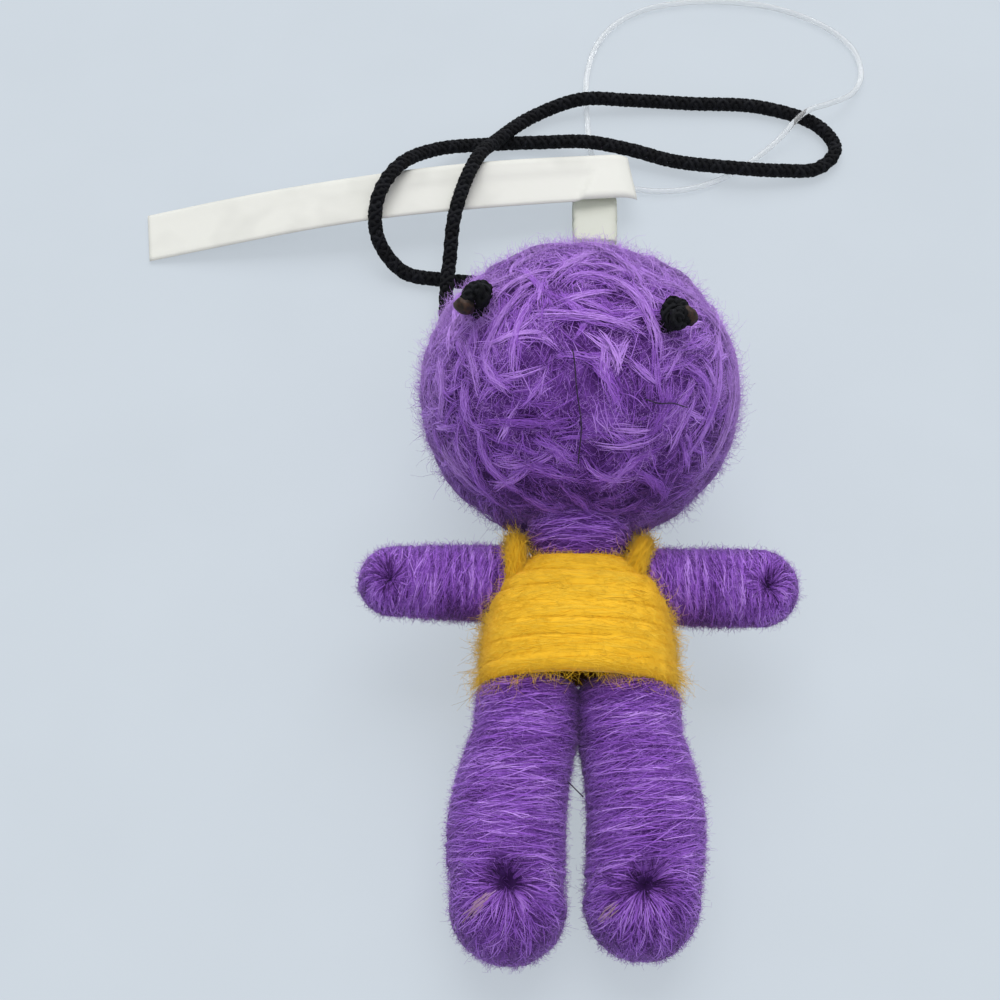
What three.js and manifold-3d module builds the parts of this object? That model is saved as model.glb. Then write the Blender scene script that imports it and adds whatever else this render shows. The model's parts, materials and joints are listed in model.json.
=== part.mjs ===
// A posable yarn-wound wire doll lying on its face, with its hanging cord and a bare retail tag.
// Millimetres, +Z up, +Y towards the head, +X to the doll's right hand.
import * as THREE from 'three';
import { mergeVertices } from 'three/addons/utils/BufferGeometryUtils.js';
import Module from 'manifold-3d';

const wasm = await Module();
wasm.setup();

// Clearances
const seatGap = 0.3;
const socketGap = 0.5;
const restFlat = 0.5;

// Yarn and wire
const limbYarn = 1.6;
const dressYarn = 2.0;
const yarnGap = 0.5;
const wireDiameter = 1.0;

// Head and neck
const headHalfWidth = 21.6;
const headHalfLength = 20.4;
const headHalfDepth = 20.5;
const headShell = 6.0;
const headSink = 0.4;
const bundleHeight = 0.8;
const bundleHalfWidth = 1.3;
const bundleHalfRun = 7.0;
const farBundles = 44;
const farBundlesFrom = 0.3;
const farBundleTurn = THREE.MathUtils.degToRad(67);
const knotSeatShare = 0.15;
const neckRadius = 5.8;
const neckRise = 4.0;
const neckWireReach = 5.0;

// Yarn bundles on the back of the head, seen from above its feet: start, middle and end, in head radii
const seenTurn = THREE.MathUtils.degToRad(30);
const seenBundles = [
  [[-0.64, -0.22], [-0.36, -0.24], [-0.08, -0.23]], [[-0.71, 0.02], [-0.70, -0.13], [-0.67, -0.27]],
  [[-0.34, 0.62], [-0.50, 0.40], [-0.60, 0.12]], [[-0.28, 0.60], [-0.40, 0.34], [-0.42, 0.02]],
  [[-0.60, 0.20], [-0.55, 0.06], [-0.44, -0.06]], [[-0.32, 0.43], [0.02, 0.42], [0.34, 0.33]],
  [[-0.18, 0.60], [-0.08, 0.48], [0.06, 0.38]], [[0.12, 0.70], [0.34, 0.48], [0.42, 0.10]],
  [[-0.14, 0.64], [0.04, 0.70], [0.22, 0.62]], [[0.08, 0.90], [-0.06, 0.80], [-0.22, 0.68]],
  [[0.10, 0.90], [0.24, 0.78], [0.34, 0.62]], [[0.02, 0.18], [0.12, 0.02], [0.20, -0.18]],
  [[-0.30, -0.32], [-0.16, -0.40], [-0.02, -0.52]], [[-0.44, -0.46], [-0.22, -0.52], [0.02, -0.60]],
  [[0.36, -0.40], [0.24, -0.50], [0.12, -0.64]], [[0.54, 0.16], [0.70, 0.04], [0.72, -0.14]],
  [[0.46, 0.02], [0.44, -0.16], [0.34, -0.32]], [[0.92, 0.20], [0.88, -0.20], [0.66, -0.62]],
  [[0.80, 0.32], [0.78, -0.04], [0.62, -0.42]], [[-0.92, -0.16], [-0.84, -0.40], [-0.66, -0.66]],
  [[-0.88, 0.22], [-0.84, 0.00], [-0.86, -0.24]], [[-0.62, -0.34], [-0.52, -0.52], [-0.34, -0.68]],
];

// Dress: half sizes at the hem, the waist, the chest and the top edge
const dressHeight = 17.0;
const hemHalfWidth = 12.8;
const waistHalfWidth = 12.2;
const chestHalfWidth = 9.9;
const topHalfWidth = 7.4;
const hemHalfDepth = 8.6;
const chestHalfDepth = 7.2;
const topHalfDepth = 6.0;
const waistShare = 0.36;
const bodiceShare = 0.52;
const chestShare = 0.78;
const bodiceBands = 3;
const bandCrown = 0.35;
const spindleHalfWidth = 4.4;
const spindleHalfDepth = 3.2;
const strapDiameter = 2.8;
const strapRise = 2.6;
const strapInset = 1.0;

// Arms
const armRadius = 5.0;
const armFlatness = 0.88;
const armLength = 15.6;
const armSwing = THREE.MathUtils.degToRad(38);
const shoulderDrop = 2.6;
const shoulderOut = 2.9;
const handLength = 6.0;
const handDimpleRadius = 1.6;
const handEyeRadius = 1.5;

// Legs
const legRootRadius = 6.2;
const footRadius = 7.0;
const legLength = 28.0;
const legSplay = THREE.MathUtils.degToRad(3.9);
const legGap = 1.4;
const hipDrop = 5.0;
const footLength = 11.5;
const footDimpleRadius = 2.1;
const footEyeRadius = 2.0;
const dimpleDepth = 2.2;

// Hanging cord: where its two ends leave the head, and where they are knotted, as directions when lying
const cordDiameter = 2.2;
const knotRadius = 2.1;
const knotLean = THREE.MathUtils.degToRad(30);
const channelDepth = 4.5;
const cordSides = 8;
const leftKnotAim = new THREE.Vector3(-0.65, 0.10, 0.75);
const leftExitAim = new THREE.Vector3(-0.75, 0.60, -0.28);
const rightKnotAim = new THREE.Vector3(0.50, -0.04, 0.86);
const rightExitAim = new THREE.Vector3(0.10, 0.97, -0.20);
const cordSteps = 56;
const cordRoute = [
  [-16.4, 54.6, 8.5], [-17.2, 57.6, 4.2], [-18.3, 61.5, 1.8], [-19.1, 66.0, 1.4], [-19.1, 71.0, 3.2],
  [-18.8, 75.0, 3.9], [-18.3, 81.0, 6.4], [-16.7, 87.6, 7.6], [-14.6, 94.0, 6.6], [-12.4, 98.8, 4.0],
  [-6.4, 106.5, 1.6], [1.5, 109.9, 2.3], [9.6, 110.5, 1.7], [19.6, 110.5, 1.2], [31.2, 110.0, 1.2],
  [40.2, 106.3, 1.2], [42.8, 101.2, 1.2], [39.6, 97.0, 1.3], [33.5, 95.9, 1.9], [25.5, 95.9, 2.4],
  [16.5, 97.6, 1.7], [9.4, 99.5, 2.1], [2.5, 100.7, 2.4], [-4.5, 101.2, 1.5], [-13.2, 100.8, 1.2],
  [-21.6, 97.6, 3.4], [-27.4, 90.6, 7.1], [-30.2, 83.4, 7.3], [-29.9, 78.4, 4.4], [-26.0, 74.6, 1.3],
  [-20.3, 73.3, 1.2], [-14.1, 72.8, 1.2], [-8.8, 71.8, 2.2], [-4.0, 69.4, 5.2], [-0.4, 65.8, 9.6],
];

// Retail tag: a filament loop round the cord, its lock and a curled paper strip
const filamentDiameter = 0.9;
const filamentSteps = 64;
const lockSize = new THREE.Vector3(7.0, 9.0, 3.2);
const lockCentre = new THREE.Vector2(3.6, 84.4);
const lockLift = 0.3;
const lockCorner = 0.8;
const filamentSpread = 1.2;
const filamentRoute = [
  [2.6, 93.0, 1.1], [3.6, 97.5, 0.6], [3.1, 101.0, 0.6], [2.7, 107.0, 0.6], [2.5, 112.6, 0.6],
  [2.9, 118.2, 0.6], [4.5, 124.0, 0.6], [7.6, 128.7, 0.6], [12.8, 132.4, 0.6], [20.6, 134.4, 0.6],
  [27.5, 134.6, 0.6], [35.2, 133.4, 0.6], [41.0, 130.8, 0.6], [45.4, 127.4, 0.6], [48.1, 123.2, 0.6],
  [48.6, 118.0, 0.6], [46.4, 113.1, 1.4], [42.4, 109.8, 2.7], [38.0, 107.2, 3.2], [33.0, 102.0, 1.5],
  [28.1, 97.9, 0.6], [23.1, 94.5, 0.6], [18.2, 92.7, 0.6], [13.4, 92.2, 0.6], [8.6, 92.4, 0.8],
];
const stripLength = 76.5;
const stripWidth = 9.0;
const stripThickness = 0.3;
const stripPastLock = new THREE.Vector2(5.9, 7.9);
const stripTurn = THREE.MathUtils.degToRad(8.7);
const stripArch = 3.0;
const stripStations = 14;

// Facets
const ringSides = 16;
const yarnSides = 5;
const yarnSteps = 14;
const wireSides = 6;
const bendSteps = 5;
const domeSteps = 5;
const tipSteps = 6;
const strapSteps = 12;
const headDetail = 11;
const lockCornerSteps = 3;

// A path with its stations at the points given, so that a tube bends only where it has to
class StationPath extends THREE.Curve {
  constructor(stations) {
    super();
    this.stations = stations;
  }

  getUtoTmapping(u) {
    return u;
  }

  getPoint(t, target = new THREE.Vector3()) {
    const last = this.stations.length - 1;
    const place = Math.min(t * last, last);
    const index = Math.min(Math.floor(place + 1e-6), last - 1);
    return target.lerpVectors(this.stations[index], this.stations[index + 1], place - index);
  }

  getTangent(t, target = new THREE.Vector3()) {
    const last = this.stations.length - 1;
    const index = Math.round(t * last);
    const before = this.stations[Math.max(index - 1, 0)];
    const after = this.stations[Math.min(index + 1, last)];
    return target.subVectors(after, before).normalize();
  }
}

// A round tube with one ring of facets at each station
function tube(stations, diameter, sides) {
  const corners = [];
  for (let k = 0; k < sides; k += 1) {
    const angle = (2 * Math.PI * k) / sides;
    corners.push(new THREE.Vector2(Math.cos(angle), Math.sin(angle)).multiplyScalar(diameter / 2));
  }
  const extrudePath = new StationPath(stations);
  return new THREE.ExtrudeGeometry(new THREE.Shape(corners), { steps: stations.length - 1, extrudePath });
}

// A closed skin over a row of rings that all have as many points, with a flat lid on each end
function loft(rings) {
  const count = rings[0].length;
  const positions = rings.flat().flatMap((point) => [point.x, point.y, point.z]);
  const index = [];
  for (let r = 0; r + 1 < rings.length; r += 1) {
    for (let k = 0; k < count; k += 1) {
      const a = r * count + k;
      const b = r * count + ((k + 1) % count);
      index.push(a, b, a + count, b, b + count, a + count);
    }
  }
  const top = (rings.length - 1) * count;
  for (let k = 1; k + 1 < count; k += 1) {
    index.push(0, k + 1, k);
    index.push(top, top + k, top + k + 1);
  }
  const geometry = new THREE.BufferGeometry();
  geometry.setAttribute('position', new THREE.Float32BufferAttribute(positions, 3));
  geometry.setIndex(index);
  geometry.computeVertexNormals();
  return geometry;
}

// An oval ring across the body axis, seen from its upper end
function ovalRing(halfWidth, height, halfDepth) {
  const ring = [];
  for (let k = 0; k < ringSides; k += 1) {
    const angle = -(2 * Math.PI * k) / ringSides;
    ring.push(new THREE.Vector3(halfWidth * Math.cos(angle), height, halfDepth * Math.sin(angle)));
  }
  return ring;
}

// The solid inside a closed mesh, with its shared corners merged and its empty triangles dropped
function solid(geometry) {
  const bare = geometry.clone();
  bare.deleteAttribute('normal');
  bare.deleteAttribute('uv');
  const merged = mergeVertices(bare);
  const corners = merged.index.array;
  const triVerts = [];
  for (let k = 0; k < corners.length; k += 3) {
    const [a, b, c] = [corners[k], corners[k + 1], corners[k + 2]];
    if (a !== b && b !== c && c !== a) triVerts.push(a, b, c);
  }
  const mesh = new wasm.Mesh({
    numProp: 3,
    vertProperties: new Float32Array(merged.attributes.position.array),
    triVerts: new Uint32Array(triVerts),
  });
  return new wasm.Manifold(mesh);
}

function geometryOf(body) {
  const mesh = body.getMesh();
  const geometry = new THREE.BufferGeometry();
  geometry.setAttribute('position', new THREE.BufferAttribute(new Float32Array(mesh.vertProperties), 3));
  geometry.setIndex(new THREE.BufferAttribute(new Uint32Array(mesh.triVerts), 1));
  geometry.computeVertexNormals();
  return geometry;
}

function cut(geometry, ...tools) {
  return geometryOf(tools.reduce((body, tool) => body.subtract(solid(tool)), solid(geometry)));
}

function join(geometry, ...others) {
  return geometryOf(others.reduce((body, other) => body.add(solid(other)), solid(geometry)));
}

function ellipsoid(halfWidth, halfLength, halfDepth, centreY) {
  const ball = new THREE.SphereGeometry(1, ringSides, ringSides - 4);
  return ball.scale(halfWidth, halfLength, halfDepth).translate(0, centreY, 0);
}

// The least gap that a wound tube keeps to its own neighbouring turns
function selfGap(stations, diameter) {
  let least = Infinity;
  for (let i = 0; i < stations.length; i += 1) {
    for (let j = i + Math.floor(yarnSteps / 2); j < stations.length; j += 1) {
      least = Math.min(least, stations[i].distanceTo(stations[j]));
    }
  }
  return least - diameter;
}

// One unbroken yarn wound round the y axis just under a skin; its two ends run off straight
function winding(name, skinWidth, skinDepth, from, to, yarn) {
  const turns = (to - from) / (yarn + yarnGap);
  const count = Math.round(turns * yarnSteps);
  const stations = [];
  for (let k = 0; k <= count; k += 1) {
    const angle = -Math.PI / 2 + (2 * Math.PI * k) / yarnSteps;
    const along = from + ((to - from) * k) / count;
    const across = (skinWidth(along) - yarn / 2) * Math.cos(angle);
    const deep = (skinDepth(along) - yarn / 2) * Math.sin(angle);
    stations.push(new THREE.Vector3(across, along, deep));
  }
  const lead = stations[0].clone().sub(stations[1]).setLength(yarn);
  const trail = stations[count].clone().sub(stations[count - 1]).setLength(yarn);
  console.log(`${name}: least gap between turns ${selfGap(stations, yarn).toFixed(2)} mm`);
  stations.unshift(stations[0].clone().add(lead));
  stations.push(stations[count + 1].clone().add(trail));
  return tube(stations, yarn, yarnSides);
}

// A wire bent back on itself round the eye in the tip of a limb, with both its ends at the root
function hairpin(rootAt, eyeAt, eyeRadius, diameter) {
  const stations = [new THREE.Vector3(eyeRadius, rootAt, 0)];
  for (let k = 0; k <= bendSteps; k += 1) {
    const angle = (Math.PI * k) / bendSteps;
    const across = eyeRadius * Math.cos(angle);
    stations.push(new THREE.Vector3(across, eyeAt + eyeRadius * Math.sin(angle), 0));
  }
  stations.push(new THREE.Vector3(-eyeRadius, rootAt, 0));
  return tube(stations, diameter, wireSides);
}

// A funnel pressed into the tip of a limb from its back and from its front
function dimples(radius, at, skinDepth) {
  const above = dimpleDepth / 2;
  const floorRadius = radius / 3;
  const mouthRadius = radius * (1 + above / dimpleDepth);
  const profile = [
    new THREE.Vector2(0, skinDepth - dimpleDepth), new THREE.Vector2(floorRadius, skinDepth - dimpleDepth),
    new THREE.Vector2(mouthRadius, skinDepth + above), new THREE.Vector2(0, skinDepth + above),
  ];
  const back = new THREE.LatheGeometry(profile, ringSides / 2).rotateX(Math.PI / 2).translate(0, at, 0);
  const front = back.clone().rotateY(Math.PI);
  return [back, front];
}

// The pieces of one limb along +y from its joint: a padded core with a round root, a wound middle and a tip
function limbPieces(name, size) {
  const { rootRadius, tipRadius, flatness, length, tipPiece, dimpleRadius, eyeRadius } = size;
  const roundFrom = length - tipRadius;
  const tipFrom = length - tipPiece;
  const dimpleAt = tipFrom + dimpleRadius + seatGap;
  const skin = (s) => {
    if (s < 0) return Math.sqrt(rootRadius ** 2 - s ** 2);
    if (s < roundFrom) return THREE.MathUtils.lerp(rootRadius, tipRadius, s / roundFrom);
    return tipRadius * Math.sqrt(Math.max(0, 1 - ((s - roundFrom) / tipRadius) ** 2));
  };
  const skinDepth = (s) => flatness * skin(s);
  const yarnRoom = limbYarn + seatGap;
  const woundFrom = -limbYarn;
  const woundTo = tipFrom - seatGap;

  const coreProfile = [];
  const domeEnd = Math.asin(woundFrom / rootRadius);
  for (let k = 0; k <= domeSteps; k += 1) {
    const angle = THREE.MathUtils.lerp(-Math.PI / 2, domeEnd, k / domeSteps);
    coreProfile.push(new THREE.Vector2(rootRadius * Math.cos(angle), rootRadius * Math.sin(angle)));
  }
  coreProfile[0].x = 0;
  const waist = (s) => (skinDepth(s) - yarnRoom) / flatness;
  coreProfile.push(new THREE.Vector2(waist(0), woundFrom), new THREE.Vector2(waist(woundTo), woundTo));
  coreProfile.push(new THREE.Vector2(0, woundTo));

  const tipProfile = [new THREE.Vector2(0, tipFrom)];
  if (tipFrom < roundFrom) tipProfile.push(new THREE.Vector2(skin(tipFrom), tipFrom));
  for (let k = 0; k < tipSteps; k += 1) {
    const angle = (Math.PI * k) / (2 * tipSteps);
    const along = roundFrom + tipRadius * Math.sin(angle);
    if (along > tipFrom) tipProfile.push(new THREE.Vector2(tipRadius * Math.cos(angle), along));
  }
  tipProfile.push(new THREE.Vector2(0, length));

  const oval = (profile) => new THREE.LatheGeometry(profile, ringSides).scale(1, 1, flatness);
  const tunnelDiameter = wireDiameter + 2 * seatGap;
  const tunnel = hairpin(-rootRadius - wireDiameter, dimpleAt, eyeRadius, tunnelDiameter);
  const wireRoot = seatGap - Math.sqrt(rootRadius ** 2 - (eyeRadius + wireDiameter) ** 2);
  const woundEnds = limbYarn / 2 + seatGap;
  const woundStart = woundFrom + woundEnds;
  const woundEnd = woundTo - woundEnds;
  return {
    core: cut(oval(coreProfile), tunnel),
    tip: cut(oval(tipProfile), tunnel, ...dimples(dimpleRadius, dimpleAt, skinDepth(dimpleAt))),
    wire: hairpin(wireRoot, dimpleAt, eyeRadius, wireDiameter),
    winding: winding(name, skin, skinDepth, woundStart, woundEnd, limbYarn),
  };
}

function at(x, y, z) {
  return new THREE.Vector3(x, y, z);
}

function finish(color, roughness, metalness = 0) {
  return new THREE.MeshStandardMaterial({ color, roughness, metalness });
}

const purpleYarn = () => finish(0x7d46af, 0.95);
const yellowYarn = () => finish(0xfac32d, 0.95);
const paleWadding = () => finish(0xd8c8ac, 0.98);
const softWire = () => finish(0x9a9a98, 0.35, 1);
const blackCord = () => finish(0x0a0c12, 0.7);
const clearNylon = () => finish(0xe6e8e6, 0.2);
const frostedPlastic = () => finish(0xcdd2be, 0.45);
const barePaper = () => finish(0xf0f0e8, 0.8);

function piece(group, name, geometry, material) {
  const mesh = new THREE.Mesh(geometry, material);
  mesh.name = name;
  group.add(mesh);
  return mesh;
}

// Heights along the body from the hem, and the tilt of the body that lies on its head and feet
const shoulderY = dressHeight - shoulderDrop;
const shoulderX = chestHalfWidth + shoulderOut;
const hipX = legRootRadius + legGap / 2;
const neckY = dressHeight + neckRise;
const headY = neckY + headHalfLength - headSink;
const footRestY = -hipDrop - (legLength - footRadius) * Math.cos(legSplay);
const tilt = Math.asin((headHalfDepth - footRadius) / (headY - footRestY));
const lift = headHalfDepth - restFlat - headY * Math.sin(tilt);
const lying = new THREE.Matrix4().makeRotationX(tilt).setPosition(0, 0, lift);
const standing = lying.clone().invert();
const floorSpan = 4 * (headY - footRestY);
const floorSlab = new THREE.BoxGeometry(floorSpan, floorSpan, headHalfDepth);
floorSlab.translate(0, 0, -headHalfDepth / 2).applyMatrix4(standing);

const whole = new THREE.Group();
const laid = new THREE.Group();
const doll = new THREE.Group();
const threaded = new THREE.Group();
for (const group of [doll, threaded]) {
  group.rotation.x = tilt;
  group.position.z = lift;
  laid.add(group);
}
whole.add(laid);

// The dress's outer half sizes at a height
function dressSkin(sizes) {
  const shares = [0, waistShare, chestShare, 1];
  return (y) => {
    const share = THREE.MathUtils.clamp(y / dressHeight, 0, 1);
    const k = shares.findLastIndex((start, index) => start <= share && index < sizes.length - 1);
    const part = (share - shares[k]) / (shares[k + 1] - shares[k]);
    return THREE.MathUtils.lerp(sizes[k], sizes[k + 1], part);
  };
}
const dressWidth = dressSkin([hemHalfWidth, waistHalfWidth, chestHalfWidth, topHalfWidth]);
const dressDepth = dressSkin([hemHalfDepth, hemHalfDepth, chestHalfDepth, topHalfDepth]);
const bodiceFrom = dressHeight * bodiceShare;
const neckRoom = ellipsoid(neckRadius + seatGap, neckRadius + seatGap, neckRadius + seatGap, neckY);

// The bodice: a crowned band for each of its turns, swollen by an allowance where room is cut for it
function bodiceForm(allowance) {
  const rings = [];
  const bandHeight = (dressHeight - bodiceFrom) / bodiceBands;
  for (let band = 0; band < bodiceBands; band += 1) {
    for (const share of [0, 0.2, 0.5, 0.8]) {
      const y = bodiceFrom + bandHeight * (band + share);
      const crown = allowance + bandCrown * (Math.sin(Math.PI * share) - 1);
      rings.push(ovalRing(dressWidth(y) + crown, y, dressDepth(y) + crown));
    }
  }
  const brim = allowance - bandCrown;
  rings.push(ovalRing(topHalfWidth + brim, dressHeight + allowance, topHalfDepth + brim));
  return loft(rings);
}

// Torso: a padded drum with a narrow chest, inside the dress
const drumFrom = legRootRadius - hipDrop + socketGap;
const drumTo = bodiceFrom - seatGap;
const chestTo = neckY - neckRadius - seatGap;
const dressRoom = dressYarn + seatGap;
const drumRings = [0, 0.35, 0.7, 1].map((share) => {
  const y = THREE.MathUtils.lerp(drumFrom, drumTo, share);
  return ovalRing(dressWidth(y) - dressRoom, y, dressDepth(y) - dressRoom);
});
const chestRings = [drumTo, chestTo].map((y) => ovalRing(spindleHalfWidth, y, spindleHalfDepth));
const wireRoom = wireDiameter + 2 * seatGap;
const hipWireY = drumFrom + wireDiameter + seatGap;
const spineFrom = hipWireY + wireRoom;
const shoulderWireZ = wireDiameter + seatGap;
const shoulderWireX = shoulderX - armRadius - socketGap - seatGap;
const hipRoute = (end) => [
  at(-hipX, end, 0), at(-hipX, hipWireY, 0), at(-hipX + wireDiameter, hipWireY + wireDiameter, 0),
  at(hipX - wireDiameter, hipWireY + wireDiameter, 0), at(hipX, hipWireY, 0), at(hipX, end, 0),
];
const shoulderRun = (reach) => [-reach, reach].map((x) => at(x, shoulderY, shoulderWireZ));
const spineHole = tube([at(0, spineFrom - seatGap, 0), at(0, neckY, 0)], wireRoom, wireSides);
const shoulderHole = tube(shoulderRun(shoulderX), wireRoom, wireSides);
const hipHole = tube(hipRoute(-hipDrop), wireRoom, wireSides);
const torsoForm = loft([...drumRings, ...chestRings]);
piece(doll, 'torso_core', cut(torsoForm, spineHole, shoulderHole, hipHole), paleWadding());
const spineRun = [at(0, spineFrom, 0), at(0, chestTo, 0)];
piece(doll, 'spine_wire', tube(spineRun, wireDiameter, wireSides), softWire());
piece(doll, 'shoulder_wire', tube(shoulderRun(shoulderWireX), wireDiameter, wireSides), softWire());
piece(doll, 'hip_wire', tube(hipRoute(drumFrom), wireDiameter, wireSides), softWire());

// Dress: wound below the arms, banded across the shoulders, with a strap over each
const dressFrom = dressYarn / 2;
const dressTo = bodiceFrom - seatGap - dressYarn / 2;
const dressLoops = winding('dress_winding', dressWidth, dressDepth, dressFrom, dressTo, dressYarn);
piece(doll, 'dress_winding', dressLoops, yellowYarn());
const chestRoom = [bodiceFrom - 1, dressHeight].map((y) => (
  ovalRing(spindleHalfWidth + seatGap, y, spindleHalfDepth + seatGap)
));

// The space that an arm's root and upper run sweep through as it swings up and down
function armRoom(side) {
  const room = armRadius + socketGap;
  const depth = 2 * (armRadius * armFlatness + socketGap);
  const turnedBack = Math.PI / 2 + armSwing;
  const far = new THREE.Vector2(armLength, 0).rotateAround(new THREE.Vector2(), armSwing);
  const edge = new THREE.Vector2(Math.cos(turnedBack), Math.sin(turnedBack)).multiplyScalar(room).add(far);
  const outline = new THREE.Shape();
  outline.absarc(0, 0, room, turnedBack, 2 * Math.PI - turnedBack);
  outline.lineTo(edge.x, -edge.y);
  outline.lineTo(edge.x, edge.y);
  const curveSegments = ringSides / 2;
  const fan = new THREE.ExtrudeGeometry(outline, { depth, curveSegments, bevelEnabled: false });
  fan.translate(0, 0, -depth / 2).rotateZ(side > 0 ? 0 : Math.PI);
  return fan.translate(side * shoulderX, shoulderY, 0);
}
const bodiceCuts = [neckRoom, loft(chestRoom), shoulderHole, armRoom(-1), armRoom(1)];
piece(doll, 'dress_bodice', cut(bodiceForm(0), ...bodiceCuts), yellowYarn());

// Each strap stands on the bodice's top edge, front and back, and clears the arm's room at its crest
const bodiceRoom = bodiceForm(seatGap);
const strapY = dressHeight + strapRise;
const strapClear = armRadius + socketGap + strapDiameter / 2;
const strapX = shoulderX - Math.sqrt(strapClear ** 2 - (strapY - shoulderY) ** 2);
const strapRootX = topHalfWidth - strapInset;
const strapHalf = [
  [strapRootX, shoulderY, chestHalfDepth - strapInset],
  [topHalfWidth, dressHeight, topHalfDepth - strapInset],
  [strapX, (dressHeight + 4 * strapY) / 5, topHalfDepth / 2],
];
for (const [name, side] of [['left', -1], ['right', 1]]) {
  const rising = strapHalf.map(([x, y, z]) => at(side * x, y, z));
  const falling = strapHalf.map(([x, y, z]) => at(side * x, y, -z)).reverse();
  const strapCurve = new THREE.CatmullRomCurve3([...rising, at(side * strapX, strapY, 0), ...falling]);
  const strap = tube(strapCurve.getSpacedPoints(strapSteps), strapDiameter, wireSides);
  piece(doll, `strap_${name}`, cut(strap, bodiceRoom), yellowYarn());
}

// Neck: a soft ball that nods in the bodice, with a wire on which the head turns
const neckWire = [at(0, neckY - neckRadius + seatGap, 0), at(0, neckY + neckRadius + neckWireReach, 0)];
const neckHole = [at(0, neckY - neckRadius - 1, 0), at(0, neckY + neckRadius + neckWireReach + seatGap, 0)];
const neckBall = ellipsoid(neckRadius, neckRadius, neckRadius, neckY);
piece(doll, 'neck_yarn', cut(neckBall, tube(neckHole, wireRoom, wireSides)), purpleYarn());
piece(doll, 'neck_wire', tube(neckWire, wireDiameter, wireSides), softWire());

// Cord ends: each runs straight through the head from its knot to where the free loop starts
function headSkin(aim) {
  const way = aim.clone().transformDirection(standing);
  const reach = 1 / Math.hypot(way.x / headHalfWidth, way.y / headHalfLength, way.z / headHalfDepth);
  return { way, point: way.clone().multiplyScalar(reach).add(at(0, headY, 0)) };
}

function cordEnd(knotAim, exitAim) {
  const knot = headSkin(knotAim);
  const exit = headSkin(exitAim);
  const centre = knot.point.clone().addScaledVector(knot.way, knotRadius + seatGap);
  const underKnot = knot.point.clone().addScaledVector(knot.way, -channelDepth);
  const along = exit.point.clone().sub(underKnot).normalize();
  const outside = exit.point.clone().addScaledVector(along, cordDiameter);
  const beyond = outside.clone().addScaledVector(along, cordDiameter);
  const tail = tube([centre, underKnot, outside], cordDiameter, cordSides);
  const channel = tube([centre, underKnot, beyond], cordDiameter + 2 * seatGap, cordSides);
  const across = new THREE.Vector3(1, 0, 0).cross(knot.way).normalize();
  const turn = new THREE.Quaternion().setFromUnitVectors(at(0, 0, 1), knot.way);
  const ball = new THREE.SphereGeometry(knotRadius, ringSides - 4, cordSides);
  ball.translate(centre.x, centre.y, centre.z);
  const collarRadius = knotRadius - cordDiameter / 4;
  const collar = new THREE.TorusGeometry(collarRadius, cordDiameter / 2, wireSides, ringSides);
  collar.rotateY(knotLean).applyQuaternion(turn).translate(centre.x, centre.y, centre.z);
  const stubWay = across.clone().addScaledVector(knot.way, Math.tan(knotLean));
  const stubEnd = centre.clone().addScaledVector(stubWay, knotRadius + cordDiameter / 2);
  const stub = tube([centre, stubEnd], cordDiameter, cordSides);
  const start = outside.clone().addScaledVector(along, seatGap).applyMatrix4(lying);
  return { geometry: join(ball, collar, stub, tail), channel, start };
}
const leftEnd = cordEnd(leftKnotAim, leftExitAim);
const rightEnd = cordEnd(rightKnotAim, rightExitAim);
piece(threaded, 'cord_end_left', leftEnd.geometry, blackCord());
piece(threaded, 'cord_end_right', rightEnd.geometry, blackCord());

// Head: a wound ball of crossing yarn bundles over a plain core, pressed flat where it rests
const seenAxis = new THREE.Vector3(1, 0, 0);
const fromSight = (way) => way.applyAxisAngle(seenAxis, seenTurn).transformDirection(standing);
const headBundles = seenBundles.map((spots) => spots.map(([right, up]) => (
  fromSight(at(right, up, Math.sqrt(1 - right ** 2 - up ** 2)))
)));
const goldenTurn = Math.PI * (3 - Math.sqrt(5));
for (let k = 0; k < farBundles; k += 1) {
  const height = THREE.MathUtils.lerp(farBundlesFrom, -1, (k + 0.5) / farBundles);
  const round = Math.sqrt(1 - height ** 2);
  const middle = at(round * Math.cos(goldenTurn * k), round * Math.sin(goldenTurn * k), height);
  const along = at(-middle.y, middle.x, 0).normalize().applyAxisAngle(middle, farBundleTurn * k);
  const swing = bundleHalfRun / headHalfWidth;
  const ends = [-swing, swing].map((angle) => (
    middle.clone().multiplyScalar(Math.cos(angle)).addScaledVector(along, Math.sin(angle))
  ));
  headBundles.push([ends[0], middle, ends[1]].map(fromSight));
}
const bundleRuns = headBundles.flatMap(([start, middle, end]) => (
  [new THREE.Line3(start, middle), new THREE.Line3(middle, end)]
));
for (const [knotAim, exitAim] of [[leftKnotAim, leftExitAim], [rightKnotAim, rightExitAim]]) {
  const seat = headSkin(knotAim).way;
  bundleRuns.push(new THREE.Line3(seat, seat.clone().lerp(headSkin(exitAim).way, knotSeatShare)));
}
const roundBall = new THREE.IcosahedronGeometry(1, headDetail);
roundBall.deleteAttribute('normal');
roundBall.deleteAttribute('uv');
const headBall = mergeVertices(roundBall);
const ballPoints = headBall.attributes.position;
const headSize = at(headHalfWidth, headHalfLength, headHalfDepth);
for (let k = 0; k < ballPoints.count; k += 1) {
  const way = new THREE.Vector3().fromBufferAttribute(ballPoints, k).normalize();
  const nearest = bundleRuns.map((run) => (
    run.closestPointToPoint(way, true, new THREE.Vector3()).normalize().distanceTo(way)
  ));
  const aside = (Math.min(...nearest) * headHalfWidth) / bundleHalfWidth;
  const swell = bundleHeight * (Math.exp(-aside * aside) - 1);
  const skin = way.clone().multiply(headSize).addScaledVector(way, swell);
  ballPoints.setXYZ(k, skin.x, skin.y + headY, skin.z);
}
const underShell = (depth) => (
  ellipsoid(headHalfWidth - depth, headHalfLength - depth, headHalfDepth - depth, headY)
);
const channels = [leftEnd.channel, rightEnd.channel];
const headCuts = [underShell(headShell - seatGap), neckRoom, floorSlab, ...channels];
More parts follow.
